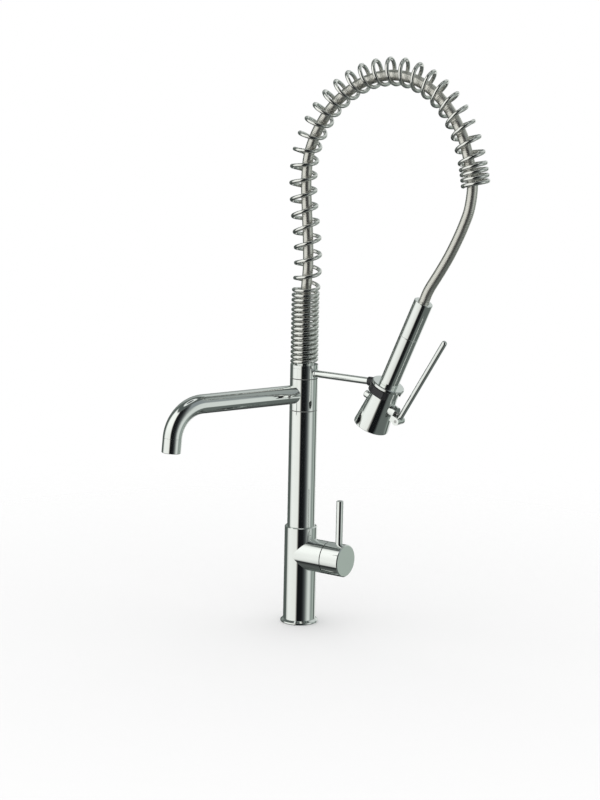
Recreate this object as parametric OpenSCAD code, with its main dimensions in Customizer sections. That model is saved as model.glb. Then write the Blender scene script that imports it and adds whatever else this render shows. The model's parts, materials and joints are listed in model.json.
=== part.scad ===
// Pre rinse mixer tap for a kitchen sink: one deck hole, a side lever, a swivel spout,
// and a hand spray that hangs from a hose inside a sprung arch.
// Millimetres, +Z up. The origin is the centre of the mounting face on the deck.
// +X points along the side lever housing and the hook arm, and -Y towards the user.

/* [Deck base] */
// Width of the base ring outside the body
base_rim = 3.75; // [3:0.05:6]
// Height of the base ring
base_h = 5.5; // [4.5:0.5:10]
// Width of the body's shoulder on the base ring
base_shoulder = 2.5; // [1.5:0.1:3]
// Width of the deck gasket
gasket_w = 2.5; // [1.5:0.1:3]
// Height of the deck gasket
gasket_h = 2; // [1.5:0.1:3]
// Core diameter of the threaded water inlets
inlet_d = 9; // [8:0.1:10]
// Depth of the threaded inlet for hot water
hot_depth = 16; // [12:0.5:20]
// Depth of the threaded inlet for cold water
cold_depth = 14; // [10:0.5:20]
// Core diameter of the threaded stud hole
stud_d = 6.8; // [5:0.1:8]
// Depth of the threaded stud hole
stud_depth = 18; // [12:0.5:20]
// Distance of each water inlet's axis from the middle of the body, across
inlet_x = 9; // [8:0.1:9.5]
// Distance of the water inlets' axes in front of the middle of the body
inlet_y = 7; // [6:0.1:8]
// Distance of the stud hole's axis behind the middle of the body
stud_y = 11; // [10:0.1:13]

/* [Mixer body] */
// Diameter of the body
body_d = 47; // [46:0.5:50]
// Height of the body above the deck
body_h = 144; // [136:1:170]
// Height of the lever housing's axis above the deck
branch_z = 103; // [80:1:108]
// Distance from the column axis to the end of the lever housing
branch_len = 48.8; // [46:0.2:60]
// Chamfer on the body's edges
body_edge = 1.2; // [0.5:0.1:2]
// Diameter of the mixing cartridge
cartridge_d = 37.6; // [36:0.1:38]
// Length of the mixing cartridge's wide part
cartridge_len = 32; // [28:0.5:34]
// Diameter of the cartridge's spindle
spindle_d = 10; // [8:0.5:10]

/* [Mixer lever] */
// Running gap between the lever housing and the cap
cap_gap = 1.3; // [0.4:0.1:1.8]
// Length of the cap
cap_len = 30.1; // [27:0.1:36]
// Distance from the cap's open end to the pin's axis
pin_setback = 17.4; // [16.5:0.1:20]
// Diameter of the pin lever
pin_d = 10; // [9:0.5:11]
// Height of the pin lever's tip above the housing axis
pin_reach = 87; // [60:1:110]

/* [Column] */
// Outer diameter of the column and of the rings on it
column_d = 40; // [39:0.5:42]
// Length of the fixed column tube
column_len = 170.6; // [120:0.2:220]
// Wall of the column tube
column_wall = 1.8; // [1.5:0.1:2.2]
// Outer diameter of the water pipe inside the column
riser_d = 14; // [12:0.5:16]
// Thickness of the glide rings
glide_h = 1; // [0.6:0.1:1.5]
// Height of the spout collar
collar_h = 45.3; // [40:0.1:60]
// Height of the hook ring
hook_ring_h = 14.7; // [13:0.1:20]
// Thickness of the spring seat's disc
seat_h = 4.5; // [4:0.1:7]

/* [Spout] */
// Outer diameter of the spout tube
spout_d = 27; // [25:0.5:28]
// Wall of the spout tube
spout_wall = 1.5; // [1:0.1:2]
// Distance from the column axis to the start of the spout's bend
spout_run = 173; // [120:1:240]
// Radius of the spout's bend along its centre line
spout_bend_r = 48; // [35:1:70]
// Angle of the spout's bend
spout_bend = 85; // [70:1:90]
// Length of the aerator
aerator_len = 21; // [15:0.5:24]
// Direction of the spout at rest, seen from above
spout_azimuth = -110; // [-130:1:-90]

/* [Hook] */
// Diameter of the hook arm
arm_d = 10; // [8:0.5:11]
// Distance from the column axis to the end of the hook arm
arm_len = 112; // [100:0.5:140]
// Outer width of the fork
fork_d = 49; // [47:0.2:56]
// Height of the fork
fork_h = 11; // [8:0.1:14]
// Reach of the fork's two prongs past the spray's axis
fork_reach = 10; // [6:0.5:16]

/* [Spring and hose] */
// Outer diameter of the spring
spring_d = 40.5; // [38:0.1:42]
// Diameter of the spring wire
wire_d = 5.6; // [4:0.1:5.8]
// Pitch of the closed turns at the foot
foot_pitch = 6.8; // [6.3:0.05:8]
// Number of closed turns at the foot
foot_turns = 15; // [10:1:18]
// Number of open turns round the arch
open_turns = 28; // [20:1:30]
// Pitch of the first open turns, above the foot
leg_pitch = 23.2; // [19:0.1:26]
// Pitch of the closed turns at the end
end_pitch = 7.6; // [6.5:0.1:10]
// Number of closed turns at the end
end_turns = 3.5; // [2:0.5:4]
// Outer diameter of the hose
hose_d = 15; // [12:0.5:15.5]

/* [Hand spray] */
// Lean of the hanging spray from upright
spray_lean = 23.9; // [20:0.1:24.5]
// Diameter of the bell at its rim
bell_d = 50.8; // [48:0.2:56]
// Diameter of the bell's upper end
bell_top_d = 38.6; // [38:0.2:44]
// Height of the bell
bell_h = 53; // [50:0.5:64]
// Wall of the bell
bell_wall = 1.8; // [1.5:0.1:2.2]
// Diameter of the neck that the fork holds
neck_d = 39; // [36:0.5:40]
// Diameter of the flange that rests on the fork
flange_d = 47; // [45:0.5:52]
// Thickness of the flange that rests on the fork
flange_h = 5; // [4:0.1:9]
// Outer diameter of the handle
handle_d = 27; // [26:0.5:30]
// Length of the grip
grip_len = 76.5; // [60:0.5:90]
// Length of the sleeve above the grip
sleeve_len = 55.7; // [50:1:70]
// Number of jets in the outer row of the spray face
jet_count = 14; // [8:1:18]

/* [Spray valve] */
// Height of the valve's axis above the bell's rim
valve_z = 38; // [35:0.5:39]
// Diameter of the bracket that carries the lever
bracket_d = 18; // [17:0.5:20]
// Distance from the spray's axis to the bracket's end face
bracket_reach = 29; // [28:0.5:32]
// Diameter of the valve's stem
stem_d = 6; // [5:0.5:7]
// Distance from the bracket's end face to the lever's pivot
pivot_out = 7.5; // [7:0.5:10]
// Drop of the lever's pivot below the valve's axis
pivot_drop = 7.5; // [7:0.5:9]
// Diameter of the lever's pivot pin
pivot_d = 4; // [3:0.5:5]
// Diameter of the spray lever's rod
lever_d = 8; // [7:0.5:9]
// Length of the spray lever from its pivot
lever_len = 141; // [110:1:150]
// Angle between the spray lever and the handle
lever_spread = 7.3; // [6:0.1:10]

/* [Hidden] */
$fn = 64;
CURL_RINGS = 8;      // rings of points in one turn of the spring
WIRE_SIDES = 6;      // sides of the spring's wire
COIL_START = 170;    // angle of the wire's lower end from +X

// Clearances
fit = 0.05;        // radial gap of a pressed, screwed or running round fit
face_gap = 0.15;   // gap between faces that turn on each other
slide_gap = 0.3;   // gap between faces that slide past each other
eps = 0.01;        // overshoot of a cut past a face

// Base ring, its seat on the body and its gasket
base_d = body_d + 2 * base_rim;
base_spigot_d = body_d - 2 * base_shoulder;
gasket_r = base_spigot_d / 2 + (base_rim + base_shoulder - gasket_w) / 2;

// Heights of the stacked column pieces
column_z = body_h;
tube_top_z = column_z + column_len;
collar_z = tube_top_z + glide_h + face_gap;
collar_top_z = collar_z + collar_h;
core_step_z = collar_top_z + face_gap;
hook_z = core_step_z + glide_h + face_gap;
hook_top_z = hook_z + hook_ring_h;
seat_top_z = hook_top_z + seat_h;

// Radii inside the column
tube_bore_r = column_d / 2 - column_wall;
plug_r = tube_bore_r - fit;
plug_len = 18;
spigot_up = 12;
core_r = column_d / 2 - 3;
neck_core_r = core_r - 2;
clip_groove_r = neck_core_r - 1;
clip_h = 1;
clip_gap = 0.3;
core_top_z = hook_top_z + clip_gap + clip_h + 1;
riser_wall = 1.5;
nipple_r = riser_d / 2 + 1;
nipple_z = core_top_z - 14;
nipple_top_z = seat_top_z + 20;
seal_wire = 1.9;
port_r = core_r - 3;
port_h = 14;

// Lever housing
bore_r = cartridge_d / 2 + fit;
cartridge_x = branch_len - 8.5 - cartridge_len;
seal_x = cartridge_x - 1.5;
nut_x = cartridge_x + cartridge_len;
nut_r = cartridge_d / 2 + 1.4;
nut_bore_r = cartridge_d / 2 - 3.5;
nut_len = 7;
cap_x = branch_len + cap_gap;
cap_face_x = cap_x + cap_len;
pin_x = cap_x + pin_setback;
hub_x = cap_x + 6;
spindle_end_x = pin_x - pin_d / 2;
spindle_in = 18;
pin_seat_z = 13;
pin_foot_z = 6;
cap_screw_d = 5;
cap_screw_x = hub_x + 3.5;

// Spout
spout_z = collar_z + collar_h / 2;
spout_bore_r = spout_d / 2 - spout_wall;
nipple_out = column_d / 2 + 20;
spout_start = column_d / 2 + 1.6;
spout_screw_d = 5;
spout_screw_at = column_d / 2 + 14;
aerator_in = 6;
insert_h = 14;
aerator_lip = 2;

// Spring seat and hose foot
coil_r = (spring_d - wire_d) / 2;
seat_spigot_r = coil_r * cos(180 / CURL_RINGS) - wire_d / 2 - 0.2;
seat_spigot_len = 50;
ferrule_r = hose_d / 2 + 2.3;
ferrule_z = nipple_top_z + slide_gap;
ferrule_len = 26;
hose_foot_z = ferrule_z + 1;

// Spray, in its own frame: +Z along its axis from the bell's rim, +X towards the lever
fork_b_z = bell_h + slide_gap;
flange_b_z = fork_b_z + fork_h + slide_gap;
grip_b_z = flange_b_z + flange_h;
sleeve_b_z = grip_b_z + grip_len;
handle_top = sleeve_b_z + sleeve_len;
fork_mid = fork_b_z + fork_h / 2;
chamber_d = 33;
grip_bore_r = handle_d / 2 - 2.5;
pocket_x = chamber_d / 2 - 4;
socket_in = 30;
socket_len = 20.7;
socket_bore_r = 4.5;
socket_bore_len = 15;
pivot_x = bracket_reach + pivot_out;
pivot_z = valve_z - pivot_drop;
// The stem ends just short of the lever's rod
lever_face = pivot_x - lever_d / 2 / cos(lever_spread);
stem_tip = lever_face + (pivot_drop - stem_d / 2) * tan(lever_spread) - slide_gap;
hub_d = pivot_d + 7;
hub_w = lever_d + 0.4;
cheek_w = 4;
cheek_gap = 0.3;
plug_d = 11;
plug_out = bell_top_d / 2 + 9;
face_z = 3;
face_h = 3;
ledge_r = bell_d / 2 - 2.9;

// Place of the fork and the spray: the arm meets the fork's back at half its height
arm_z = hook_z + hook_ring_h / 2;
root_len = 6.5;
tenon_r = 3;
fork_back_x = arm_len + root_len;
fork_slot_r = neck_d / 2 + 0.7;
prong_inset = 0.3;   // step from the ring's round wall to the flat sides of its prongs
spray_x = fork_back_x - fork_mid * sin(spray_lean) + fork_d / 2 * cos(spray_lean);
spray_z = arm_z - fork_mid * cos(spray_lean) - fork_d / 2 * sin(spray_lean);

// Route of the spring: [x, height above the spring seat, shift of the hose towards the arch's middle]
ARCH = [[0, 0, 0], [0, 30, 0], [0, 65, 0], [0, 100, 0], [3, 140, 0], [1, 180, 1], [-5, 222, 4],
    [-8, 262, 5], [-4, 302, 5], [12, 340, 5], [39, 376, 5], [77, 404, 5], [118, 419, 5], [160, 420, 5],
    [199, 406, 5], [232, 379, 5], [256, 343, 5], [270, 303, 5], [275.3, 275, 5]];
// Free stretch of the hose, between the spring's end and the handle: [x, height above the spring seat]
DROP = [[267, 243], [259, 220], [249, 198], [237, 175], [223, 152]];
SPAN_STEPS = 6;      // steps between two points of the arch
HOSE_STEPS = 3;      // steps between two points of the hose
HOSE_SIDES = 12;     // sides of the hose

function unit(v) = v / norm(v);
// Smooth curve through points p, n steps a span
function curve_point(a, b, c, d, t) =
    0.5 * ((2 * b) + (c - a) * t + (2 * a - 5 * b + 4 * c - d) * t * t
    + (3 * b - a - 3 * c + d) * t * t * t);
function curve(p, n) = let (last = len(p) - 1)
    [for (i = [0:last - 1]) for (k = [0:n - 1])
        curve_point(p[max(i - 1, 0)], p[i], p[i + 1], p[min(i + 2, last)], k / n), p[last]];
// Length of the curve up to each of its points
function lengths(p) = [for (i = 0, s = 0; i < len(p);
    s = s + (i + 1 < len(p) ? norm(p[i + 1] - p[i]) : 0), i = i + 1) s];
// Direction of a plane curve at each of its points
function headings(p) = [for (i = [0:len(p) - 1]) unit(p[min(i + 1, len(p) - 1)] - p[max(i - 1, 0)])];
// Triangles of a closed tube of rings with the given number of sides
function tube_faces(rings, sides) = concat(
    [for (k = [1:sides - 2]) [0, k, k + 1]],
    [for (i = [0:rings - 2]) for (k = [0:sides - 1])
        let (a = i * sides + k, b = i * sides + (k + 1) % sides)
        [a, a + sides, b + sides]],
    [for (i = [0:rings - 2]) for (k = [0:sides - 1])
        let (a = i * sides + k, b = i * sides + (k + 1) % sides)
        [a, b + sides, b]],
    [for (k = [1:sides - 2]) let (e = (rings - 1) * sides) [e, e + k + 1, e + k]]);

// Centre line of the spring's arch
arch_line = [for (p = curve([for (a = ARCH) [a[0], a[1]]], SPAN_STEPS)) [p[0], p[1] + seat_top_z]];
arch_s = lengths(arch_line);
arch_x = [for (i = [0:len(arch_line) - 1]) [arch_s[i], arch_line[i][0]]];
arch_h = [for (i = [0:len(arch_line) - 1]) [arch_s[i], arch_line[i][1]]];
arch_len = arch_s[len(arch_s) - 1];

// The spring rises foot_rise above its seat, closes at both ends and is open between
foot_rise = wire_d / 2 + slide_gap;
foot_len = foot_turns * foot_pitch;
end_len = end_turns * end_pitch;
open_len = arch_len - foot_rise - foot_len - end_len;
even_turns = open_turns - 2;
arch_pitch = (2 * open_len - foot_pitch - end_pitch - leg_pitch * (even_turns + 1)) / (even_turns + 1);
spring_turns = foot_turns + open_turns + end_turns;
// Length of t of n turns while the pitch changes evenly from p to q
function ramp(t, n, p, q) = p * t + (q - p) * t * t / (2 * n);
even_start = foot_turns + 1;
even_end = even_start + even_turns;
even_s = foot_len + ramp(1, 1, foot_pitch, leg_pitch);
open_end_s = even_s + ramp(even_turns, even_turns, leg_pitch, arch_pitch);
// Length along the arch after t turns
function coil_s(t) = foot_rise + (
    t < foot_turns ? t * foot_pitch
    : t < even_start ? foot_len + ramp(t - foot_turns, 1, foot_pitch, leg_pitch)
    : t < even_end ? even_s + ramp(t - even_start, even_turns, leg_pitch, arch_pitch)
    : t < even_end + 1 ? open_end_s + ramp(t - even_end, 1, arch_pitch, end_pitch)
    : foot_len + open_len + (t - even_end - 1) * end_pitch);
function arch_at(s) = [lookup(s, arch_x), lookup(s, arch_h)];
function arch_dir(s) = unit(arch_at(min(s + 2, arch_len)) - arch_at(max(s - 2, 0)));
function coil_out(t) = let (d = arch_dir(coil_s(t)), a = 360 * t + COIL_START)
    [cos(a) * d[1], sin(a), -cos(a) * d[0]];
function coil_point(t) = let (c = arch_at(coil_s(t))) [c[0], 0, c[1]] + coil_r * coil_out(t);
coil_rings = spring_turns * CURL_RINGS;
coil_mid = [for (i = [0:coil_rings]) coil_point(i / CURL_RINGS)];
coil_first = unit(coil_mid[1] - coil_mid[0]);
coil_last = unit(coil_mid[coil_rings] - coil_mid[coil_rings - 1]);
// Both ends of the wire run straight for one diameter
wire_mid = concat([coil_mid[0] - wire_d * coil_first], coil_mid,
    [coil_mid[coil_rings] + wire_d * coil_last]);
wire_out = concat([coil_out(0)], [for (i = [0:coil_rings]) coil_out(i / CURL_RINGS)],
    [coil_out(spring_turns)]);

// Least gap between one turn and the next, from ring to ring
coil_gap = min([for (i = [0:coil_rings - CURL_RINGS]) for (k = [-2:2])
    let (j = i + CURL_RINGS + k) if (j <= coil_rings) norm(coil_mid[j] - coil_mid[i])]) - wire_d;
echo(least_gap_of_spring_to_itself = coil_gap);

// Centre line of the hose
arch_head = headings([for (a = ARCH) [a[0], a[1]]]);
axis_head = [sin(spray_lean), cos(spray_lean)];
handle_mouth = [spray_x, spray_z] + handle_top * axis_head;
hose_points = concat([[0, hose_foot_z], [0, hose_foot_z + hose_d]],
    [for (i = [3:len(ARCH) - 1]) [ARCH[i][0], ARCH[i][1] + seat_top_z]
        + ARCH[i][2] * [arch_head[i][1], -arch_head[i][0]]],
    [for (p = DROP) p + [0, seat_top_z]],
    [handle_mouth + 1.3 * hose_d * axis_head, handle_mouth, handle_mouth - 9 * axis_head]);
hose_line = curve(hose_points, HOSE_STEPS);
hose_head = headings(hose_line);
echo(hose_length = lengths(hose_line)[len(hose_line) - 1]);

// ---------------------------------------------------------------- shapes

module tube(r_out, r_in, h) {
    difference() {
        cylinder(r = r_out, h = h);
        translate([0, 0, -eps]) cylinder(r = r_in, h = h + 2 * eps);
    }
}

// Cylinder along +X from x0 to x1
module rod_x(r, x0, x1) {
    translate([x0, 0, 0]) rotate([0, 90, 0]) cylinder(r = r, h = x1 - x0);
}

// Cylinder along Y from -w / 2 to w / 2
module rod_y(r, w) {
    rotate([90, 0, 0]) cylinder(r = r, h = w, center = true);
}

// Block from x = 0 to x, centred on Y and Z
module slab(x, y, z) {
    translate([0, -y / 2, -z / 2]) cube([x, y, z]);
}

// Round solid with the given outline [r, z]
module turned(outline) {
    rotate_extrude() polygon(outline);
}

// Round solid along +X with the given outline [r, x]
module turned_x(outline) {
    rotate([0, 90, 0]) turned(outline);
}

module o_ring(r, wire) {
    rotate_extrude() translate([r, 0]) circle(d = wire, $fn = 24);
}

// Grub screw along +Z with a hexagon socket in its top
module grub(d, h) {
    difference() {
        cylinder(d = d, h = h);
        translate([0, 0, h - 2]) cylinder(d = d / 2, h = 2 + eps, $fn = 6);
    }
}

// Into the spray's own frame
module at_spray() {
    translate([spray_x, 0, spray_z]) rotate([0, spray_lean, 0]) children();
}

// Into the spout's frame: +X along the spout
module at_spout() {
    translate([0, 0, spout_z]) rotate([0, 0, spout_azimuth]) children();
}

// Into the frame of the spout's outlet: -Z along the falling water
module at_outlet() {
    at_spout() translate([spout_run, 0, -spout_bend_r]) rotate([0, spout_bend, 0])
        translate([0, 0, spout_bend_r]) rotate([0, -90, 0]) children();
}

// ---------------------------------------------------------------- deck base and mixer body

module base_ring() {
    color("silver") turned([[base_spigot_d / 2 + fit, 0], [gasket_r - fit, 0], [gasket_r - fit, gasket_h],
        [gasket_r + gasket_w + fit, gasket_h], [gasket_r + gasket_w + fit, 0], [base_d / 2 - 1, 0],
        [base_d / 2, 1], [base_d / 2, base_h / 2], [body_d / 2 + 0.6, base_h],
        [base_spigot_d / 2 + fit, base_h]]);
}

module deck_gasket() {
    color("dimgray") tube(gasket_r + gasket_w, gasket_r, gasket_h);
}

module valve_body() {
    color("silver") difference() {
        union() {
            turned([[0, 0], [base_spigot_d / 2, 0], [base_spigot_d / 2, base_h], [body_d / 2, base_h],
                [body_d / 2, body_h - body_edge], [body_d / 2 - body_edge, body_h], [plug_r, body_h],
                [plug_r, body_h + spigot_up], [0, body_h + spigot_up]]);
            translate([0, 0, branch_z]) rod_x(body_d / 2, 0, branch_len);
        }
        translate([0, 0, branch_z]) {
            rod_x(bore_r, seal_x, branch_len + eps);
            rod_x(nut_r + fit, nut_x, branch_len + eps);
        }
        translate([0, 0, body_h - 4]) cylinder(r = riser_d / 2 + fit, h = spigot_up + 4 + eps);
        translate([-inlet_x, -inlet_y, -eps]) cylinder(d = inlet_d, h = hot_depth + eps);
        translate([inlet_x, -inlet_y, -eps]) cylinder(d = inlet_d, h = cold_depth + eps);
        translate([0, stud_y, -eps]) cylinder(d = stud_d, h = stud_depth + eps);
    }
}

module mixing_cartridge() {
    color("whitesmoke") translate([0, 0, branch_z]) difference() {
        union() {
            rod_x(cartridge_d / 2, cartridge_x, nut_x);
            rod_x(nut_bore_r - fit, nut_x - eps, nut_x + nut_len);
        }
        rod_x(spindle_d / 2 + fit, nut_x + nut_len - spindle_in - slide_gap, nut_x + nut_len + eps);
        for (a = [90, 210, 330]) rotate([a, 0, 0]) translate([0, 0, cartridge_d / 4])
            rod_x(3, cartridge_x - eps, cartridge_x + 12);
    }
}

module cartridge_seals() {
    color("black") translate([0, 0, branch_z])
        for (a = [90, 210, 330]) rotate([a, 0, 0]) translate([seal_x, 0, cartridge_d / 4])
            rotate([0, 90, 0]) tube(4.6, 3, cartridge_x - seal_x);
}

module cartridge_nut() {
    color("goldenrod") translate([nut_x, 0, branch_z]) rotate([0, 90, 0]) difference() {
        tube(nut_r, nut_bore_r, nut_len);
        for (a = [0, 90]) rotate([0, 0, a])
            translate([-nut_r, -1.5, nut_len - 2]) cube([2 * nut_r, 3, 2 + eps]);
    }
}

// ---------------------------------------------------------------- mixer lever

module lever_spindle() {
    color("gray") translate([0, 0, branch_z])
        rod_x(spindle_d / 2, nut_x + nut_len - spindle_in, spindle_end_x);
}

module lever_cap() {
    color("silver") translate([0, 0, branch_z]) difference() {
        turned_x([[0, cap_x], [body_d / 2, cap_x], [body_d / 2, cap_face_x - body_edge],
            [body_d / 2 - body_edge, cap_face_x], [0, cap_face_x]]);
        rod_x(body_d / 2 - 3, cap_x - eps, hub_x);
        rod_x(spindle_d / 2 + fit, hub_x - eps, spindle_end_x + fit);
        translate([pin_x, 0, pin_foot_z]) cylinder(r = pin_d / 2 - 1 + fit, h = body_d);
        translate([pin_x, 0, pin_seat_z]) cylinder(r = pin_d / 2 + fit, h = body_d);
        translate([cap_screw_x, 0, -body_d]) cylinder(r = cap_screw_d / 2 + fit, h = body_d);
    }
}

module lever_pin() {
    color("silver") translate([pin_x, 0, branch_z])
        turned([[0, pin_foot_z], [pin_d / 2 - 1, pin_foot_z], [pin_d / 2 - 1, pin_seat_z],
            [pin_d / 2, pin_seat_z], [pin_d / 2, pin_reach - 1], [pin_d / 2 - 1, pin_reach],
            [0, pin_reach]]);
}

module cap_screw() {
    color("dimgray") translate([cap_screw_x, 0, branch_z]) rotate([180, 0, 0])
        translate([0, 0, spindle_d / 2 + fit]) grub(cap_screw_d, body_d / 2 - spindle_d / 2 - 3);
}

// ---------------------------------------------------------------- column

module column_tube() {
    color("silver") translate([0, 0, column_z]) tube(column_d / 2, tube_bore_r, column_len);
}

module riser_pipe() {
    color("peru") translate([0, 0, body_h - 4])
        tube(riser_d / 2, riser_d / 2 - riser_wall, tube_top_z - plug_len / 2 - body_h + 4);
}

module swivel_core() {
    color("goldenrod") difference() {
        union() {
            translate([0, 0, tube_top_z - plug_len]) cylinder(r = plug_r, h = plug_len);
            translate([0, 0, tube_top_z - eps]) cylinder(r = core_r, h = core_step_z - tube_top_z + eps);
            translate([0, 0, core_step_z - eps])
                cylinder(r = neck_core_r, h = core_top_z - core_step_z + eps);
        }
        for (z = seal_heights()) translate([0, 0, z - 1])
            tube(core_r + 1, core_r - seal_wire - fit, 2);
        translate([0, 0, spout_z - port_h / 2]) tube(core_r + 1, port_r, port_h);
        translate([0, 0, hook_top_z + clip_gap - fit])
            tube(neck_core_r + 1, clip_groove_r, clip_h + 2 * fit);
        translate([0, 0, tube_top_z - plug_len - eps]) {
            cylinder(r = 5.5, h = core_top_z - tube_top_z + plug_len);
            cylinder(r = riser_d / 2 + fit, h = plug_len / 2 + eps);
        }
        translate([0, 0, nipple_z]) cylinder(r = nipple_r + fit, h = core_top_z - nipple_z + eps);
        for (a = [0, 90]) translate([0, 0, spout_z]) rotate([0, 0, a]) rod_x(3, -core_r, core_r);
    }
}

function seal_heights() = [spout_z - port_h, spout_z + port_h];

module spout_seals() {
    color("black") for (z = seal_heights()) translate([0, 0, z]) o_ring(core_r - seal_wire / 2, seal_wire);
}

module lower_glide_ring() {
    color("white") translate([0, 0, tube_top_z]) tube(column_d / 2 - 0.4, core_r + fit, glide_h);
}

module upper_glide_ring() {
    color("white") translate([0, 0, core_step_z]) tube(column_d / 2 - 0.4, neck_core_r + fit, glide_h);
}

module retaining_clip() {
    color("gray") translate([0, 0, hook_top_z + clip_gap]) difference() {
        tube(neck_core_r + 1.3, clip_groove_r + fit, clip_h);
        translate([-neck_core_r - 2, -2, -eps]) cube([4.5, 4, clip_h + 2 * eps]);
    }
}

module riser_nipple() {
    color("goldenrod") translate([0, 0, nipple_z]) tube(nipple_r, 5, nipple_top_z - nipple_z);
}

// ---------------------------------------------------------------- spout

module spout_collar() {
    color("silver") difference() {
        union() {
            translate([0, 0, collar_z]) cylinder(d = column_d, h = collar_h);
            at_spout() rod_x(spout_bore_r - fit, 0, nipple_out);
            at_spout() rod_x(spout_d / 2, 0, spout_start - 0.1);
        }
        translate([0, 0, collar_z - eps]) cylinder(r = core_r + fit, h = collar_h + 2 * eps);
        at_spout() {
            rod_x(spout_bore_r - 3, 0, nipple_out + eps);
            translate([spout_screw_at, 0, 0]) rotate([-90, 0, 0])
                cylinder(r = spout_screw_d / 2 + fit, h = spout_d);
        }
    }
}

module spout_tube() {
    color("silver") difference() {
        union() {
            at_spout() rotate([0, 90, 0]) translate([0, 0, spout_start])
                tube(spout_d / 2, spout_bore_r, spout_run - spout_start);
            // Ring inside the wall that joins the straight to the bend
            at_spout() rotate([0, 90, 0]) translate([0, 0, spout_run - 1])
                tube(spout_d / 2 - spout_wall / 4, spout_bore_r + spout_wall / 4, 2);
            at_spout() translate([spout_run, 0, -spout_bend_r]) rotate([90, 0, 0])
                rotate([0, 0, 90 - spout_bend]) rotate_extrude(angle = spout_bend)
                    translate([spout_bend_r, 0]) difference() {
                        circle(d = spout_d);
                        circle(r = spout_bore_r);
                    }
        }
        at_spout() translate([spout_screw_at, 0, 0]) rotate([-90, 0, 0])
            cylinder(r = spout_screw_d / 2 + fit, h = spout_d);
    }
}

module spout_screw() {
    color("dimgray") at_spout() translate([spout_screw_at, spout_bore_r - 3 + fit, 0])
        rotate([-90, 0, 0]) grub(spout_screw_d, spout_wall + 2.4);
}

module aerator_shell() {
    color("silver") at_outlet() translate([0, 0, -aerator_len])
        turned([[spout_bore_r - 2.5, 0], [spout_d / 2 - 0.6, 0], [spout_d / 2, 0.6],
            [spout_d / 2, aerator_len - 0.3], [spout_d / 2 - 0.4, aerator_len],
            [spout_bore_r - fit, aerator_len], [spout_bore_r - 0.5, aerator_len + aerator_in],
            [spout_bore_r - 1.5, aerator_len + aerator_in], [spout_bore_r - 1.5, aerator_lip],
            [spout_bore_r - 2.5, aerator_lip]]);
}

module aerator_insert() {
    color("white") at_outlet() translate([0, 0, aerator_lip - aerator_len]) difference() {
        cylinder(r = spout_bore_r - 1.5 - fit, h = insert_h);
        translate([0, 0, 2]) cylinder(r = spout_bore_r - 3, h = insert_h);
        for (ring = [1, 2]) for (k = [1:6 * ring]) rotate([0, 0, 60 * k / ring])
            translate([3.6 * ring, 0, -eps]) cylinder(d = 1.6, h = 2 + 2 * eps, $fn = 16);
        translate([0, 0, -eps]) cylinder(d = 1.6, h = 2 + 2 * eps, $fn = 16);
    }
}

module aerator_seal() {
    color("black") at_outlet() translate([0, 0, aerator_lip + insert_h - aerator_len])
        tube(spout_bore_r - 1.5 - fit, spout_bore_r - 4, 2);
}

// ---------------------------------------------------------------- hook

module hook_ring() {
    color("silver") difference() {
        translate([0, 0, hook_z]) tube(column_d / 2, neck_core_r + fit, hook_ring_h);
        translate([0, 0, arm_z]) {
            rod_x(tenon_r + fit, neck_core_r - 1, column_d / 2 + 1);
            rod_x(arm_d / 2 + 1.2, column_d / 2 - 1, column_d / 2 + 1);
        }
    }
}

module hook_arm() {
    color("silver") translate([0, 0, arm_z]) {
        turned_x([[0, neck_core_r + 0.6], [tenon_r, neck_core_r + 0.6], [tenon_r, column_d / 2 - 1],
            [arm_d / 2 + 1, column_d / 2 - 1], [arm_d / 2 + 1, column_d / 2 + 1.5],
            [arm_d / 2, column_d / 2 + 1.5], [arm_d / 2, arm_len], [tenon_r, arm_len],
            [tenon_r, fork_back_x - 1], [0, fork_back_x - 1]]);
    }
}

// Open ring round the spray's neck, with two prongs towards +X, on a root that screws to the arm
module hook_fork() {
    color("dimgray") difference() {
        union() {
            at_spray() translate([0, 0, fork_b_z]) {
                cylinder(d = fork_d, h = fork_h);
                translate([0, 0, fork_h / 2]) slab(fork_reach, fork_d - 2 * prong_inset, fork_h);
            }
            translate([0, 0, arm_z]) rod_x(arm_d / 2 + 1.5, arm_len, fork_back_x + 3);
        }
        at_spray() translate([0, 0, fork_mid]) {
            cylinder(r = fork_slot_r, h = fork_h + 10, center = true);
            slab(fork_d, 2 * (fork_slot_r - prong_inset), fork_h + 10);
        }
        translate([0, 0, arm_z]) rod_x(tenon_r + fit, arm_len - 1, fork_back_x - 0.8);
    }
}

// ---------------------------------------------------------------- spring and hose

module spring_seat() {
    color("silver") difference() {
        union() {
            translate([0, 0, hook_top_z]) cylinder(d = column_d, h = seat_h);
            translate([0, 0, seat_top_z - eps]) cylinder(r = seat_spigot_r, h = seat_spigot_len);
        }
        translate([0, 0, hook_top_z - eps])
            cylinder(r = neck_core_r + 2, h = core_top_z - hook_top_z + 0.3);
        translate([0, 0, hook_top_z]) cylinder(r = nipple_r + 0.1, h = nipple_top_z - hook_top_z + 0.2);
        translate([0, 0, nipple_top_z + 0.1]) cylinder(r = ferrule_r + 0.1, h = seat_spigot_len);
    }
}

// One unbroken wire: closed turns at the foot, open turns round the arch, closed turns at the end
module arch_spring() {
    color("lightgray") polyhedron(
        [for (i = [0:len(wire_mid) - 1]) let (
            along = unit(wire_mid[min(i + 1, len(wire_mid) - 1)] - wire_mid[max(i - 1, 0)]),
            out = unit(wire_out[i] - (wire_out[i] * along) * along),
            side = cross(along, out))
            for (k = [0:WIRE_SIDES - 1]) let (a = 360 * k / WIRE_SIDES)
                wire_mid[i] + wire_d / 2 * (cos(a) * out + sin(a) * side)],
        tube_faces(len(wire_mid), WIRE_SIDES));
}

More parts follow.
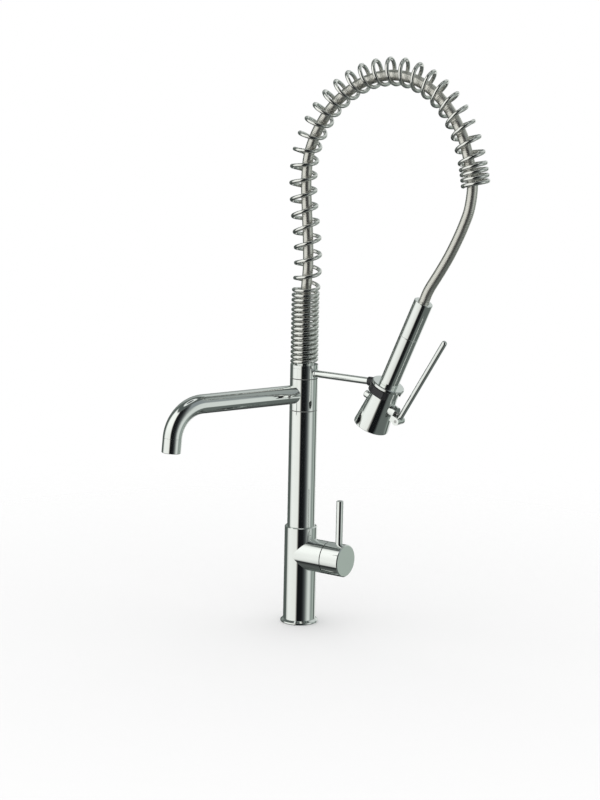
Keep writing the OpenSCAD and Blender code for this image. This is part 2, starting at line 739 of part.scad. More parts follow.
module spray_hose() {
    color("gray") polyhedron(
        [for (i = [0:len(hose_line) - 1]) let (d = hose_head[i])
            for (k = [0:HOSE_SIDES - 1]) let (a = 360 * k / HOSE_SIDES)
                [hose_line[i][0], 0, hose_line[i][1]] + hose_d / 2 * [cos(a) * d[1], sin(a), -cos(a) * d[0]]],
        tube_faces(len(hose_line), HOSE_SIDES));
}

module lower_ferrule() {
    color("silver") translate([0, 0, ferrule_z]) tube(ferrule_r, hose_d / 2 + 0.1, ferrule_len);
}

// ---------------------------------------------------------------- hand spray

module spray_body() {
    color("silver") at_spray() difference() {
        turned([[0, face_z + face_h], [7, face_z + face_h], [7, 14], [chamber_d / 2, 14],
            [chamber_d / 2, bell_h], [neck_d / 2, bell_h], [neck_d / 2, flange_b_z],
            [flange_d / 2 - 0.6, flange_b_z], [flange_d / 2, flange_b_z + 0.6],
            [flange_d / 2, grip_b_z - 1], [flange_d / 2 - 1, grip_b_z],
            [grip_bore_r - fit, grip_b_z], [grip_bore_r - fit, grip_b_z + 12],
            [0, grip_b_z + 12]]);
        translate([0, 0, valve_z]) {
            cylinder(d = 9, h = grip_b_z + 13 - valve_z);
            rod_x(bracket_d / 2 + fit, pocket_x, chamber_d);
            rod_x(4.5, -pocket_x, pocket_x + eps);
            rod_x(plug_d / 2 + fit, -chamber_d, -pocket_x + 0.5);
        }
        translate([0, 0, 14]) for (a = [45:90:315]) rotate([0, 0, a]) translate([10, 0, -eps])
            cylinder(d = 4, h = 10);
        translate([0, 0, face_z]) cylinder(d = 4 + 2 * fit, h = 12);
    }
}

module spray_bell() {
    color("silver") at_spray() difference() {
        turned([[bell_d / 2 - bell_wall, 0], [bell_d / 2 - 0.4, 0], [bell_d / 2, 0.4], [bell_d / 2, 2.6],
            [bell_top_d / 2, bell_h], [chamber_d / 2 + fit, bell_h], [chamber_d / 2 + fit, bell_h - 5],
            [bell_top_d / 2 - bell_wall + 0.5, bell_h - 8], [ledge_r, face_z + face_h],
            [bell_d / 2 - bell_wall, face_z + face_h]]);
        translate([0, 0, valve_z]) {
            rod_x(bracket_d / 2 + fit, pocket_x, bell_d);
            rod_x(plug_d / 2 + fit, -bell_d, -pocket_x);
        }
    }
}

module spray_face() {
    color("dimgray") at_spray() translate([0, 0, face_z]) difference() {
        cylinder(r = bell_d / 2 - bell_wall - 0.1, h = face_h);
        for (k = [1:jet_count]) rotate([0, 0, 360 * k / jet_count]) translate([bell_d / 2 - 6.5, 0, -eps])
            cylinder(d = 2, h = face_h + 2 * eps, $fn = 16);
        for (k = [1:8]) rotate([0, 0, 45 * k]) translate([bell_d / 4, 0, -eps])
            cylinder(d = 2, h = face_h + 2 * eps, $fn = 16);
        translate([0, 0, -eps]) cylinder(d = 4 + 2 * fit, h = face_h + 2 * eps);
    }
}

module face_screw() {
    color("silver") at_spray() difference() {
        union() {
            cylinder(d = 4, h = 13);
            translate([0, 0, face_z - 2.2]) cylinder(d = 8, h = 2.2);
        }
        translate([0, 0, -5]) cylinder(d = 9, h = 5 + face_z - 2.2);
        translate([-0.5, -5, 0]) cube([1, 10, face_z - 1.2]);
    }
}

module handle_grip() {
    color("silver") at_spray() translate([0, 0, grip_b_z])
        turned([[grip_bore_r, 0], [handle_d / 2, 0], [handle_d / 2, grip_len - 0.5],
            [handle_d / 2 - 0.5, grip_len], [grip_bore_r - fit, grip_len], [grip_bore_r - fit, grip_len + 8],
            [grip_bore_r - 2, grip_len + 8], [grip_bore_r - 2, 20], [grip_bore_r, 20]]);
}

module handle_sleeve() {
    color("silver") at_spray() translate([0, 0, sleeve_b_z])
        turned([[grip_bore_r, 0], [handle_d / 2 - 0.5, 0], [handle_d / 2, 0.5],
            [handle_d / 2, sleeve_len - 1], [handle_d / 2 - 1, sleeve_len], [hose_d / 2 + 0.3, sleeve_len],
            [hose_d / 2 + 0.3, sleeve_len - 5], [grip_bore_r, sleeve_len - 5]]);
}

// Crimped end of the hose inside the handle
module hose_socket() {
    color("silver") at_spray() translate([0, 0, handle_top - socket_in]) difference() {
        cylinder(r = grip_bore_r - fit, h = socket_len);
        cylinder(r = socket_bore_r, h = 2 * socket_bore_len, center = true);
    }
}

// ---------------------------------------------------------------- spray valve and lever

module valve_cap() {
    color("silver") at_spray() translate([0, 0, valve_z]) difference() {
        turned_x([[0, -plug_out], [plug_d / 2 - 1, -plug_out], [plug_d / 2, 1 - plug_out],
            [plug_d / 2, 0.5 - pocket_x], [0, 0.5 - pocket_x]]);
        translate([-plug_out - 1, 0, 0]) rotate([0, 90, 0]) cylinder(d = 5, h = 4, $fn = 6);
    }
}

// Return spring of the valve, drawn as its sleeve of turns
module valve_spring() {
    color("gray") at_spray() translate([0, 0, valve_z]) rotate([0, 90, 0]) translate([0, 0, 0.5 - pocket_x])
        tube(3.8, 2.8, pocket_x - 4 - 0.5 - slide_gap);
}

module valve_plunger() {
    color("gainsboro") at_spray() translate([0, 0, valve_z]) {
        rod_x(4.3, -4, -1);
        rod_x(stem_d / 2, -1 - eps, stem_tip);
    }
}

module lever_bracket() {
    color("silver") at_spray() difference() {
        union() {
            translate([0, 0, valve_z]) rod_x(bracket_d / 2, pocket_x, bracket_reach);
            for (s = [-1, 1]) translate([0, s * (hub_w / 2 + cheek_gap + cheek_w / 2), 0]) {
                translate([pivot_x, 0, pivot_z]) rod_y(hub_d / 2, cheek_w);
                translate([bracket_reach - 2, -cheek_w / 2, pivot_z - hub_d / 2 + 2])
                    cube([pivot_x - bracket_reach + 2, cheek_w, hub_d - 2]);
            }
        }
        translate([0, 0, valve_z]) rod_x(stem_d / 2 + fit, pocket_x - eps, bracket_reach + eps);
        translate([pivot_x, 0, pivot_z]) rod_y(pivot_d / 2 + fit, 2 * bracket_d);
    }
}

module pivot_pin() {
    color("gainsboro") at_spray() translate([pivot_x, 0, pivot_z]) {
        rod_y(pivot_d / 2, hub_w + 2 * cheek_gap + 2 * cheek_w + 1);
    }
}

module spray_lever() {
    color("silver") at_spray() translate([pivot_x, 0, pivot_z]) difference() {
        union() {
            rod_y(hub_d / 2, hub_w);
            rotate([0, lever_spread, 0]) {
                cylinder(d = lever_d, h = lever_len - lever_d / 2);
                translate([0, 0, lever_len - lever_d / 2]) sphere(d = lever_d);
            }
        }
        rod_y(pivot_d / 2 + fit, 2 * bracket_d);
    }
}

base_ring();
deck_gasket();
valve_body();
mixing_cartridge();
cartridge_seals();
cartridge_nut();
column_tube();
riser_pipe();
swivel_core();
spout_seals();
lower_glide_ring();
upper_glide_ring();
retaining_clip();
riser_nipple();
lever_spindle();
lever_cap();
lever_pin();
cap_screw();
spout_collar();
spout_tube();
spout_screw();
aerator_shell();
aerator_insert();
aerator_seal();
hook_ring();
hook_arm();
hook_fork();
spring_seat();
arch_spring();
spray_hose();
lower_ferrule();
spray_body();
spray_bell();
spray_face();
face_screw();
handle_grip();
handle_sleeve();
hose_socket();
valve_cap();
valve_spring();
lever_bracket();
pivot_pin();
valve_plunger();
spray_lever();
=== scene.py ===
"""Looks of a pre-rinse mixer tap with a side lever, a swivel spout and a sprung hand spray.

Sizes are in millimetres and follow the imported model. Every mesh is made in metres, in the row's
frame: +Z up, +X along the side lever housing and the hook arm, -Y towards the user.
"""

import json
import logging
import math
from collections.abc import Sequence
from dataclasses import dataclass
from enum import Enum
from functools import cache

import bmesh
import bpy
from mathutils import Matrix, Vector

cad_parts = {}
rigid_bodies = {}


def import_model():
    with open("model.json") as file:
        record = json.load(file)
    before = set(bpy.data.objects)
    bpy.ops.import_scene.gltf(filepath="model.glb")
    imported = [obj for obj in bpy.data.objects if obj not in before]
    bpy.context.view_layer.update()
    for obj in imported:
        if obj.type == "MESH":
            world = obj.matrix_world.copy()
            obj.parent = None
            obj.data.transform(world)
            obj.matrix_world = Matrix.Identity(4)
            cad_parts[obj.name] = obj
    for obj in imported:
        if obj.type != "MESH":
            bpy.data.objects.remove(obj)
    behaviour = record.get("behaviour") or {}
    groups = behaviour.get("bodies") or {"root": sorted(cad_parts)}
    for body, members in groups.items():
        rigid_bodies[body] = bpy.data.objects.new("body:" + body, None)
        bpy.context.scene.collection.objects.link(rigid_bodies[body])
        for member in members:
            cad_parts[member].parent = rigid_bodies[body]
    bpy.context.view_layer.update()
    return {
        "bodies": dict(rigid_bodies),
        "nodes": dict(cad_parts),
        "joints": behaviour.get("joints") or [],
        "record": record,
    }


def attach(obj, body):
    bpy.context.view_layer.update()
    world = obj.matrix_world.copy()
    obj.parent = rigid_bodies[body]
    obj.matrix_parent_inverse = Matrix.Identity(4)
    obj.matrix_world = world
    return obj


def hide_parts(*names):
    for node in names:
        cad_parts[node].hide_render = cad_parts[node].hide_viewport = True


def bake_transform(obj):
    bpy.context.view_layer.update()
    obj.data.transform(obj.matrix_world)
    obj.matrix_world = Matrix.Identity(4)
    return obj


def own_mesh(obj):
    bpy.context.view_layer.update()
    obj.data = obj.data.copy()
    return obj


LOG = logging.getLogger("tap")
MM = 0.001
TURN_STEPS = 144  # flats round a turned piece
ROD_STEPS = 72  # flats round a thin one
TINY_MM = 1e-6  # a side shorter than this has no direction
ON_AXIS_MM = 1e-4  # a point nearer than this to the axis lies on it
FILLET_STEPS = 4  # spans of a fillet's arc
SIDE_SHARE = 0.45  # most of a side that a fillet may take
LONG_FLAT_MM = 1.0  # a flat longer than this is held flat by a point near each end
HOLD_MM = 0.12  # distance of that point from the end
SHARP_DEG = 32.0  # an edge past this angle stays sharp
EASE_DEG = 38.0  # an edge of a node past this angle is eased
MERGE_M = 2e-6  # corners of a node nearer than this to one another are one
FLAT_DEG = 0.4  # faces of a node within this angle of one another are one
ROUND_TOL_MM = 0.06  # how far a corner on a round surface may lie off it
ROUND_FACING = 0.97  # least cosine between that corner's face and the surface
LOOK_MM = 2  # how far a route looks ahead and back for its direction
RIB_STEPS = 4.0  # rings of the hose's skin to a rib
LIP_SIDES, BEAD_SIDES = 24, 10  # flats round a nozzle's lip, and round the lip's bead
MIX_COLORS, MIX_RESULT = (6, 7), 2  # colour inputs and colour result of a mix node

Triple = tuple[float, float, float]
Outline = Sequence[tuple[float, ...]]
Line = list[Vector]
Piece = bpy.types.Object
Socket = bpy.types.NodeSocket
Inputs = dict[str | int, object]


class Body(Enum):
    """Bodies of the motion model that a piece can ride on."""

    COLUMN = "column"
    MIXER_LEVER = "mixer_lever"
    SPOUT = "spout"
    SWING = "swing"
    SPRAY = "spray"
    TRIGGER = "trigger"


# ---------------------------------------------------------------- node trees


class Nodes:
    """A node tree, with short calls for its nodes."""

    def __init__(self, tree: bpy.types.NodeTree) -> None:
        """Keeps the tree."""
        self.tree = tree

    def feed(self, target: Socket, value: object) -> None:
        """Links an input to a socket, or sets it to a value.

        Args:
            target: The input.
            value: The socket or the value.
        """
        if isinstance(value, Socket):
            self.tree.links.new(value, target)
        else:
            target.default_value = value

    def add(self, kind: str, inputs: Inputs | None = None, **settings: object) -> bpy.types.Node:
        """Adds a node.

        Args:
            kind: The node's type name.
            inputs: Input name or number to the socket or the value that feeds it.
            settings: The node's properties.

        Returns:
            The new node.
        """
        node = self.tree.nodes.new(kind)
        for key, value in settings.items():
            setattr(node, key, value)
        for key, value in (inputs or {}).items():
            self.feed(node.inputs[key], value)
        return node

    def math(self, operation: str, a: object, b: object = 0.0) -> Socket:
        """Adds a sum on two values, and gives its result."""
        return self.add("ShaderNodeMath", {0: a, 1: b}, operation=operation).outputs[0]

    def mix(self, factor: object, a: object, b: object) -> Socket:
        """Mixes two colours, each a socket or a plain colour.

        Args:
            factor: The second colour's share.
            a: The first colour.
            b: The second colour.

        Returns:
            The mixed colour's socket.
        """
        node = self.add("ShaderNodeMix", {0: factor}, data_type="RGBA")
        for number, value in zip(MIX_COLORS, (a, b)):
            self.feed(node.inputs[number], value if isinstance(value, Socket) else (*value, 1))
        return node.outputs[MIX_RESULT]

    def rise(self, value: Socket, low: float, high: float) -> Socket:
        """Goes smoothly from 0 to 1 while a value goes from low to high."""
        inputs = {0: value, 1: low, 2: high, 3: 0.0, 4: 1.0}
        return self.add("ShaderNodeMapRange", inputs, interpolation_type="SMOOTHSTEP").outputs[0]


class Shader(Nodes):
    """A material with a Principled surface."""

    def __init__(self, name: str) -> None:
        """Starts the material.

        Args:
            name: The material's name.
        """
        self.material = bpy.data.materials.new(name)
        self.material.use_nodes = True
        super().__init__(self.material.node_tree)
        self.surface = self.tree.nodes["Principled BSDF"]
        self.places = self.add("ShaderNodeTexCoord").outputs["Object"]

    def show(self, name: str, value: object) -> None:
        """Feeds an input of the surface."""
        self.feed(self.surface.inputs[name], value)

    def noise(self, scale: float, detail: float, stretch: Triple = (1, 1, 1)) -> Socket:
        """Adds noise over the object's own places.

        Args:
            scale: Cells to a metre.
            detail: Octaves.
            stretch: Factors on X, Y and Z.

        Returns:
            The noise's value socket.
        """
        mapping = self.add("ShaderNodeMapping", {"Vector": self.places, "Scale": stretch})
        inputs = {"Vector": mapping.outputs["Vector"], "Scale": scale, "Detail": detail}
        return self.add("ShaderNodeTexNoise", inputs).outputs["Fac"]

    def ramp(self, value: Socket, low: float, high: float) -> Socket:
        """Maps a 0 to 1 value to low to high."""
        inputs = {"Value": value, "To Min": low, "To Max": high}
        return self.add("ShaderNodeMapRange", inputs).outputs["Result"]

    def relief(self, value: Socket, depth_mm: float, strength: float) -> None:
        """Bumps the surface by a value."""
        inputs = {"Height": value, "Strength": strength, "Distance": depth_mm * MM}
        self.show("Normal", self.add("ShaderNodeBump", inputs).outputs["Normal"])


# ---------------------------------------------------------------- finishes


@dataclass(frozen=True)
class MetalFinish:
    """A metal: polished, plated or brushed, and the record's slot for pieces in it."""

    name: str
    color: Triple
    shade: Triple
    roughness: tuple[float, float]
    grain: float = 60.0
    stretch: Triple = (1, 1, 1)
    fineness: float = 22.0
    scratch_mm: float = 0.002
    scratch: float = 0.02
    slot: str = ""

    def material(self) -> bpy.types.Material:
        """Builds the metal, with faint wear in its tone, gloss and relief.

        Returns:
            The material.
        """
        sh = Shader(self.name)
        sh.show("Metallic", 1.0)
        cloud = sh.noise(self.grain, 5, self.stretch)
        sh.show("Base Color", sh.mix(cloud, self.shade, self.color))
        sh.show("Roughness", sh.ramp(cloud, *self.roughness))
        sh.relief(sh.noise(self.grain * self.fineness, 2, self.stretch), self.scratch_mm, self.scratch)
        return sh.material


@dataclass(frozen=True)
class MouldedFinish:
    """Moulded plastic or rubber, with a fine grained skin, and the record's slot for pieces in it."""

    name: str
    color: Triple
    shade: Triple
    roughness: tuple[float, float]
    ior: float = 1.48
    cloud: float = 90.0
    grain: float = 900.0
    depth_mm: float = 0.03
    depth: float = 0.35
    slot: str = ""

    def material(self) -> bpy.types.Material:
        """Builds the plastic or rubber.

        Returns:
            The material.
        """
        sh = Shader(self.name)
        sh.show("IOR", self.ior)
        cloud = sh.noise(self.cloud, 3)
        sh.show("Base Color", sh.mix(cloud, self.shade, self.color))
        sh.show("Roughness", sh.ramp(cloud, *self.roughness))
        sh.relief(sh.noise(self.grain, 2), self.depth_mm, self.depth)
        return sh.material


Finish = MetalFinish | MouldedFinish

CHROME = MetalFinish(
    "bright_chrome", (0.86, 0.88, 0.865), (0.82, 0.84, 0.825), (0.035, 0.07), slot="chrome"
)
SPRING_WIRE = MetalFinish(
    "spring_wire", (0.86, 0.86, 0.835), (0.78, 0.78, 0.755), (0.07, 0.14), 120, slot="spring_steel"
)
HOSE_METAL = MetalFinish(
    "hose_metal", (0.74, 0.725, 0.68), (0.64, 0.63, 0.59), (0.24, 0.34), 200, slot="hose"
)
STEEL = MetalFinish(
    "satin_steel", (0.56, 0.56, 0.55), (0.47, 0.47, 0.46), (0.22, 0.34), 300, (1, 1, 0.1), slot="steel"
)
BRASS = MetalFinish("turned_brass", (0.75, 0.57, 0.27), (0.63, 0.46, 0.20), (0.2, 0.33), 200, (1, 1, 6))
DARK_PLASTIC = MouldedFinish(
    "dark_plastic", (0.020, 0.020, 0.022), (0.012, 0.012, 0.014), (0.26, 0.38), slot="dark_plastic"
)
GREY_PLASTIC = MouldedFinish("grey_plastic", (0.17, 0.175, 0.17), (0.13, 0.135, 0.13), (0.3, 0.42))
PALE_PLASTIC = MouldedFinish("pale_plastic", (0.80, 0.80, 0.77), (0.74, 0.74, 0.71), (0.35, 0.48))
RUBBER = MouldedFinish(
    "seal_rubber", (0.026, 0.026, 0.026), (0.016, 0.016, 0.016), (0.55, 0.72), slot="seal_rubber"
)


@cache
def made(finish: Finish) -> bpy.types.Material:
    """Gives a finish's material, made on its first use."""
    return finish.material()


# ---------------------------------------------------------------- shapes


def along_x(z: float) -> Matrix:
    """Place in which +Z of a turned piece points along +X, from a height in mm."""
    return Matrix.Translation((0, 0, z)) @ Matrix.Rotation(math.pi / 2, 4, "Y")


def fillet(before: Vector, corner: Vector, after: Vector, radius: float) -> Line:
    """Rounds one corner of an outline.

    Args:
        before: The point before the corner.
        corner: The corner.
        after: The point after it.
        radius: Radius of the rounding in mm.

    Returns:
        The points that take the corner's place.
    """
    a, b = before - corner, after - corner
    if radius <= 0 or a.length < TINY_MM or b.length < TINY_MM:
        return [corner]
    reach = min(radius / math.tan(a.angle(b) / 2), SIDE_SHARE * a.length, SIDE_SHARE * b.length)
    start, end = corner + a.normalized() * reach, corner + b.normalized() * reach
    shares = (k / FILLET_STEPS for k in range(FILLET_STEPS + 1))
    return [start.lerp(corner, t).lerp(corner.lerp(end, t), t) for t in shares]


def rounded(outline: Outline) -> Line:
    """Rounds an outline's corners, and adds points next to them that hold the flats flat.

    Args:
        outline: Corners as (radius, height) or (radius, height, fillet), in mm.

    Returns:
        The points of the closed outline.
    """
    corners = [Vector((p[0], p[1])) for p in outline]
    runs = []
    for i, p in enumerate(outline):
        radius = p[2] if len(p) > 2 else 0.0
        runs.append(fillet(corners[i - 1], corners[i], corners[(i + 1) % len(corners)], radius))
    points: Line = []
    for i, run in enumerate(runs):
        points += run
        here, there = run[-1], runs[(i + 1) % len(runs)][0]
        span = (there - here).length
        if span > LONG_FLAT_MM:
            points += [here.lerp(there, HOLD_MM / span), here.lerp(there, 1 - HOLD_MM / span)]
    return points


def finished(
    name: str, mesh: bpy.types.Mesh, place: Matrix | None = None, sharp: float = SHARP_DEG
) -> Piece:
    """Puts a mesh in its place and shades it smooth between its edges.

    Args:
        name: The piece's name.
        mesh: Its mesh, in mm.
        place: Where it stands, in mm.
        sharp: Angle in degrees past which an edge stays sharp.

    Returns:
        The piece's object, at the origin.
    """
    mesh.transform(Matrix.Scale(MM, 4) @ (place or Matrix.Identity(4)))
    mesh.shade_smooth()
    mesh.set_sharp_from_angle(angle=math.radians(sharp))
    piece = bpy.data.objects.new(name, mesh)
    bpy.context.scene.collection.objects.link(piece)
    return piece


def turned(name: str, outline: Outline, place: Matrix | None = None, steps: int = TURN_STEPS) -> Piece:
    """Turns a closed outline round +Z.

    Args:
        name: The piece's name.
        outline: Corners as (radius, height) or (radius, height, fillet), in mm.
        place: Where the piece stands.
        steps: Flats round it.

    Returns:
        The piece's object.
    """
    bm = bmesh.new()
    rings = []
    for p in rounded(outline):
        if p.x < ON_AXIS_MM:
            rings.append([bm.verts.new((0, 0, p.y))] * steps)
        else:
            angles = (2 * math.pi * k / steps for k in range(steps))
            rings.append([bm.verts.new((p.x * math.cos(a), p.x * math.sin(a), p.y)) for a in angles])
    for i, ring in enumerate(rings):
        above = rings[(i + 1) % len(rings)]
        for k in range(steps):
            corners = [ring[k], ring[(k + 1) % steps], above[(k + 1) % steps], above[k]]
            face = list(dict.fromkeys(corners))
            if len(face) > 2:
                bm.faces.new(face)
    bmesh.ops.recalc_face_normals(bm, faces=bm.faces)
    mesh = bpy.data.meshes.new(name)
    bm.to_mesh(mesh)
    bm.free()
    return finished(name, mesh, place)


def baked(piece: Piece) -> Piece:
    """Applies a piece's modifiers and clears them.

    Args:
        piece: The piece.

    Returns:
        The same piece.
    """
    bpy.context.view_layer.update()
    graph = bpy.context.evaluated_depsgraph_get()
    solid = piece.evaluated_get(graph)
    mesh = bpy.data.meshes.new_from_object(solid, preserve_all_data_layers=True, depsgraph=graph)
    piece.modifiers.clear()
    piece.data = mesh
    return piece


@dataclass(frozen=True)
class Round:
    """A round surface of a piece: a cylinder with its axis through a point, in mm."""

    point: Vector
    axis: Vector
    radius: float

    def normal(self, place: Vector, facing: Vector) -> Vector | None:
        """Gives the surface's true normal at a corner of a face, if the face lies on it.

        Args:
            place: The corner's place, in mm.
            facing: The face's normal.

        Returns:
            The normal, or None for a face that lies elsewhere.
        """
        out = place - self.point
        out -= self.axis * out.dot(self.axis)
        off = abs(out.length - self.radius) > ROUND_TOL_MM
        return None if off or facing.dot(out.normalized()) < ROUND_FACING else out.normalized()


def trued(piece: Piece, rounds: Sequence[Round]) -> Piece:
    """Gives the faces on round surfaces the true normals, so that gloss runs evenly past holes.

    Args:
        piece: The piece, in metres.
        rounds: Its round surfaces.

    Returns:
        The same piece.
    """
    mesh = piece.data
    normals = [corner.vector.copy() for corner in mesh.corner_normals]
    for face in mesh.polygons:
        for loop in face.loop_indices:
            place = mesh.vertices[mesh.loops[loop].vertex_index].co / MM
            found = (r.normal(place, face.normal) for r in rounds)
            normals[loop] = next((n for n in found if n), normals[loop])
    mesh.normals_split_custom_set(normals)
    return piece


def eased(name: str, node: Piece, edge_mm: float, rounds: Sequence[Round] = ()) -> Piece:
    """Makes a piece from a node's own shape, with its edges eased as a polisher leaves them.

    Args:
        name: The piece's name.
        node: The node's object in the frame.
        edge_mm: Width of the eased edge.
        rounds: Its round surfaces.

    Returns:
        The piece's object.
    """
    mesh = node.data.copy()
    mesh.materials.clear()
    bm = bmesh.new()
    bm.from_mesh(mesh)
    bmesh.ops.remove_doubles(bm, verts=bm.verts, dist=MERGE_M)
    bmesh.ops.dissolve_limit(bm, angle_limit=math.radians(FLAT_DEG), verts=bm.verts, edges=bm.edges)
    bm.to_mesh(mesh)
    bm.free()
    mesh.transform(Matrix.Scale(1 / MM, 4))
    piece = finished(name, mesh, sharp=EASE_DEG)
    bevel = piece.modifiers.new("eased", "BEVEL")
    bevel.width, bevel.segments, bevel.limit_method = edge_mm * MM, 2, "ANGLE"
    bevel.angle_limit, bevel.harden_normals = math.radians(EASE_DEG), True
    piece.modifiers.new("even", "WEIGHTED_NORMAL").keep_sharp = True
    return trued(baked(piece), rounds)


class Tree(Nodes):
    """A geometry node tree with named inputs, and the objects that it makes."""

    def __init__(self, name: str, sizes: dict[str, float | int]) -> None:
        """Starts a tree.

        Args:
            name: The tree's name.
            sizes: Its named inputs and their values. A whole number makes an integer input.
        """
        super().__init__(bpy.data.node_groups.new(name, "GeometryNodeTree"))
        self.sizes = sizes
        face = self.tree.interface
        face.new_socket("Geometry", in_out="INPUT", socket_type="NodeSocketGeometry")
        for key, value in sizes.items():
            kind = "NodeSocketInt" if isinstance(value, int) else "NodeSocketFloat"
            face.new_socket(key, in_out="INPUT", socket_type=kind)
        face.new_socket("Material", in_out="INPUT", socket_type="NodeSocketMaterial")
        face.new_socket("Geometry", in_out="OUTPUT", socket_type="NodeSocketGeometry")
        self.given, self.result = self.add("NodeGroupInput"), self.add("NodeGroupOutput")

    def size(self, name: str) -> Socket:
        """Gives the socket of a named input."""
        return self.given.outputs[name]

    def line(self) -> Socket:
        """Gives the line that the tree follows, as a curve."""
        return self.add("GeometryNodeMeshToCurve", {"Mesh": self.size("Geometry")}).outputs["Curve"]

    def circle(self, radius: Socket, sides: object) -> Socket:
        """Adds a circle, and gives its curve."""
        inputs = {"Resolution": sides, "Radius": radius}
        return self.add("GeometryNodeCurvePrimitiveCircle", inputs).outputs["Curve"]

    def sweep(self, curve: Socket, section: Socket, inputs: Inputs | None = None) -> Socket:
        """Sweeps a section along a curve, with more inputs if there are any, and gives the mesh."""
        inputs = {"Curve": curve, "Profile Curve": section} | (inputs or {})
        return self.add("GeometryNodeCurveToMesh", inputs).outputs["Mesh"]

    def close(self, mesh: Socket) -> None:
        """Ends the tree in real geometry with its material.

        Args:
            mesh: The geometry.
        """
        smooth = self.add("GeometryNodeSetShadeSmooth", {"Geometry": mesh}).outputs["Geometry"]
        real = self.add("GeometryNodeRealizeInstances", {"Geometry": smooth}).outputs["Geometry"]
        dressed = self.add("GeometryNodeSetMaterial", {"Geometry": real, "Material": self.size("Material")})
        self.feed(self.result.inputs["Geometry"], dressed.outputs["Geometry"])

    def make(self, name: str, material: bpy.types.Material, line: Line | None = None) -> Piece:
        """Runs the tree on a line of points, and gives a plain mesh.

        Args:
            name: The piece's name.
            material: Its material.
            line: Points in mm that the tree follows, if it follows any.

        Returns:
            The piece's object, in metres.
        """
        mesh = bpy.data.meshes.new(name)
        points = line or [Vector((0, 0, 0))]
        mesh.from_pydata([p * MM for p in points], [(i, i + 1) for i in range(len(points) - 1)], [])
        piece = bpy.data.objects.new(name, mesh)
        bpy.context.scene.collection.objects.link(piece)
        modifier = piece.modifiers.new(self.tree.name, "NODES")
        modifier.node_group = self.tree
        values = self.sizes | {"Material": material}
        for item in self.tree.interface.items_tree:
            if item.in_out == "INPUT" and item.name in values:
                modifier[item.identifier] = values[item.name]
        return baked(piece)


def wire_tree(diameter_mm: float, sides: int) -> Tree:
    """Makes a tree that draws a round wire along a line.

    Args:
        diameter_mm: The wire's diameter.
        sides: Flats round the wire.

    Returns:
        The tree.
    """
    tree = Tree("wire_along_line", {"Wire Radius": diameter_mm / 2 * MM, "Sides": sides})
    section = tree.circle(tree.size("Wire Radius"), tree.size("Sides"))
    tree.close(tree.sweep(tree.line(), section, {"Fill Caps": True}))
    return tree


def ribbed_tree(diameter_mm: float, pitch_mm: float, depth_mm: float, sides: int) -> Tree:
    """Makes a tree that draws a hose with wound ribs along a line.

    Args:
        diameter_mm: Diameter over the ribs.
        pitch_mm: Distance from rib to rib.
        depth_mm: Depth of the grooves between them.
        sides: Flats round the hose.

    Returns:
        The tree.
    """
    sizes = {"Radius": diameter_mm / 2 * MM, "Pitch": pitch_mm * MM, "Depth": depth_mm * MM, "Sides": sides}
    tree = Tree("ribbed_hose", sizes)
    step = tree.math("DIVIDE", tree.size("Pitch"), RIB_STEPS)
    even = tree.add("GeometryNodeResampleCurve", {"Curve": tree.line(), "Length": step}, mode="LENGTH")
    # The first ring of each rib lies in the groove.
    index = tree.add("GeometryNodeInputIndex").outputs["Index"]
    groove = tree.math("LESS_THAN", tree.math("FLOORED_MODULO", index, RIB_STEPS), 0.5)
    share = tree.math("DIVIDE", tree.size("Depth"), tree.size("Radius"))
    factor = tree.math("SUBTRACT", 1.0, tree.math("MULTIPLY", groove, share))
    sized = tree.add("GeometryNodeSetCurveRadius", {"Curve": even.outputs["Curve"], "Radius": factor})
    section = tree.circle(tree.size("Radius"), tree.size("Sides"))
    tree.close(tree.sweep(sized.outputs["Curve"], section, {"Fill Caps": True, "Scale": factor}))
    return tree


def nozzle_tree(rings: Sequence[tuple[int, float]], hole_mm: float, bead_mm: float) -> Tree:
    """Makes a tree that sets soft round lips on the holes of a plate, in rings.

    Args:
        rings: Count and radius in mm of each ring of holes.
        hole_mm: A hole's diameter.
        bead_mm: Thickness of the lip round it.

    Returns:
        The tree.
    """
    sizes = {"Lip Radius": (hole_mm + bead_mm) / 2 * MM, "Bead Radius": bead_mm / 2 * MM}
    for i, (count, radius) in enumerate(rings, 1):
        sizes |= {f"Count {i}": count, f"Radius {i}": radius * MM}
    tree = Tree("nozzle_rings", sizes)
    lip = tree.circle(tree.size("Lip Radius"), LIP_SIDES)
    nozzle = tree.sweep(lip, tree.circle(tree.size("Bead Radius"), BEAD_SIDES))
    joined = tree.add("GeometryNodeJoinGeometry")
    for i in range(1, len(rings) + 1):
        inputs = {"Vertices": tree.size(f"Count {i}"), "Radius": tree.size(f"Radius {i}")}
        places = tree.add("GeometryNodeMeshCircle", inputs).outputs["Mesh"]
        on = tree.add("GeometryNodeInstanceOnPoints", {"Points": places, "Instance": nozzle})
        tree.feed(joined.inputs["Geometry"], on.outputs["Instances"])
    tree.close(joined.outputs["Geometry"])
    return tree


# ---------------------------------------------------------------- routes of the spring and the hose


def smooth_line(points: Sequence[Vector], steps: int) -> Line:
    """Draws a smooth line through points.

    Args:
        points: The points.
        steps: Spans between two points.

    Returns:
        The line's points.
    """
    line: Line = []
    last = len(points) - 1
    for i in range(last):
        a, b, c, d = points[max(i - 1, 0)], points[i], points[i + 1], points[min(i + 2, last)]
        square, cube = 2 * a - 5 * b + 4 * c - d, 3 * b - a - 3 * c + d
        for t in (k / steps for k in range(steps)):
            line.append(0.5 * (2 * b + (c - a) * t + square * t * t + cube * t**3))
    line.append(points[last].copy())
    return line


def lengths(line: Line) -> list[float]:
    """Gives the length of a line up to each of its points.

    Args:
        line: Its points.

    Returns:
        The lengths, from 0.
    """
    total = [0.0]
    for a, b in zip(line, line[1:]):
        total.append(total[-1] + (b - a).length)
    return total


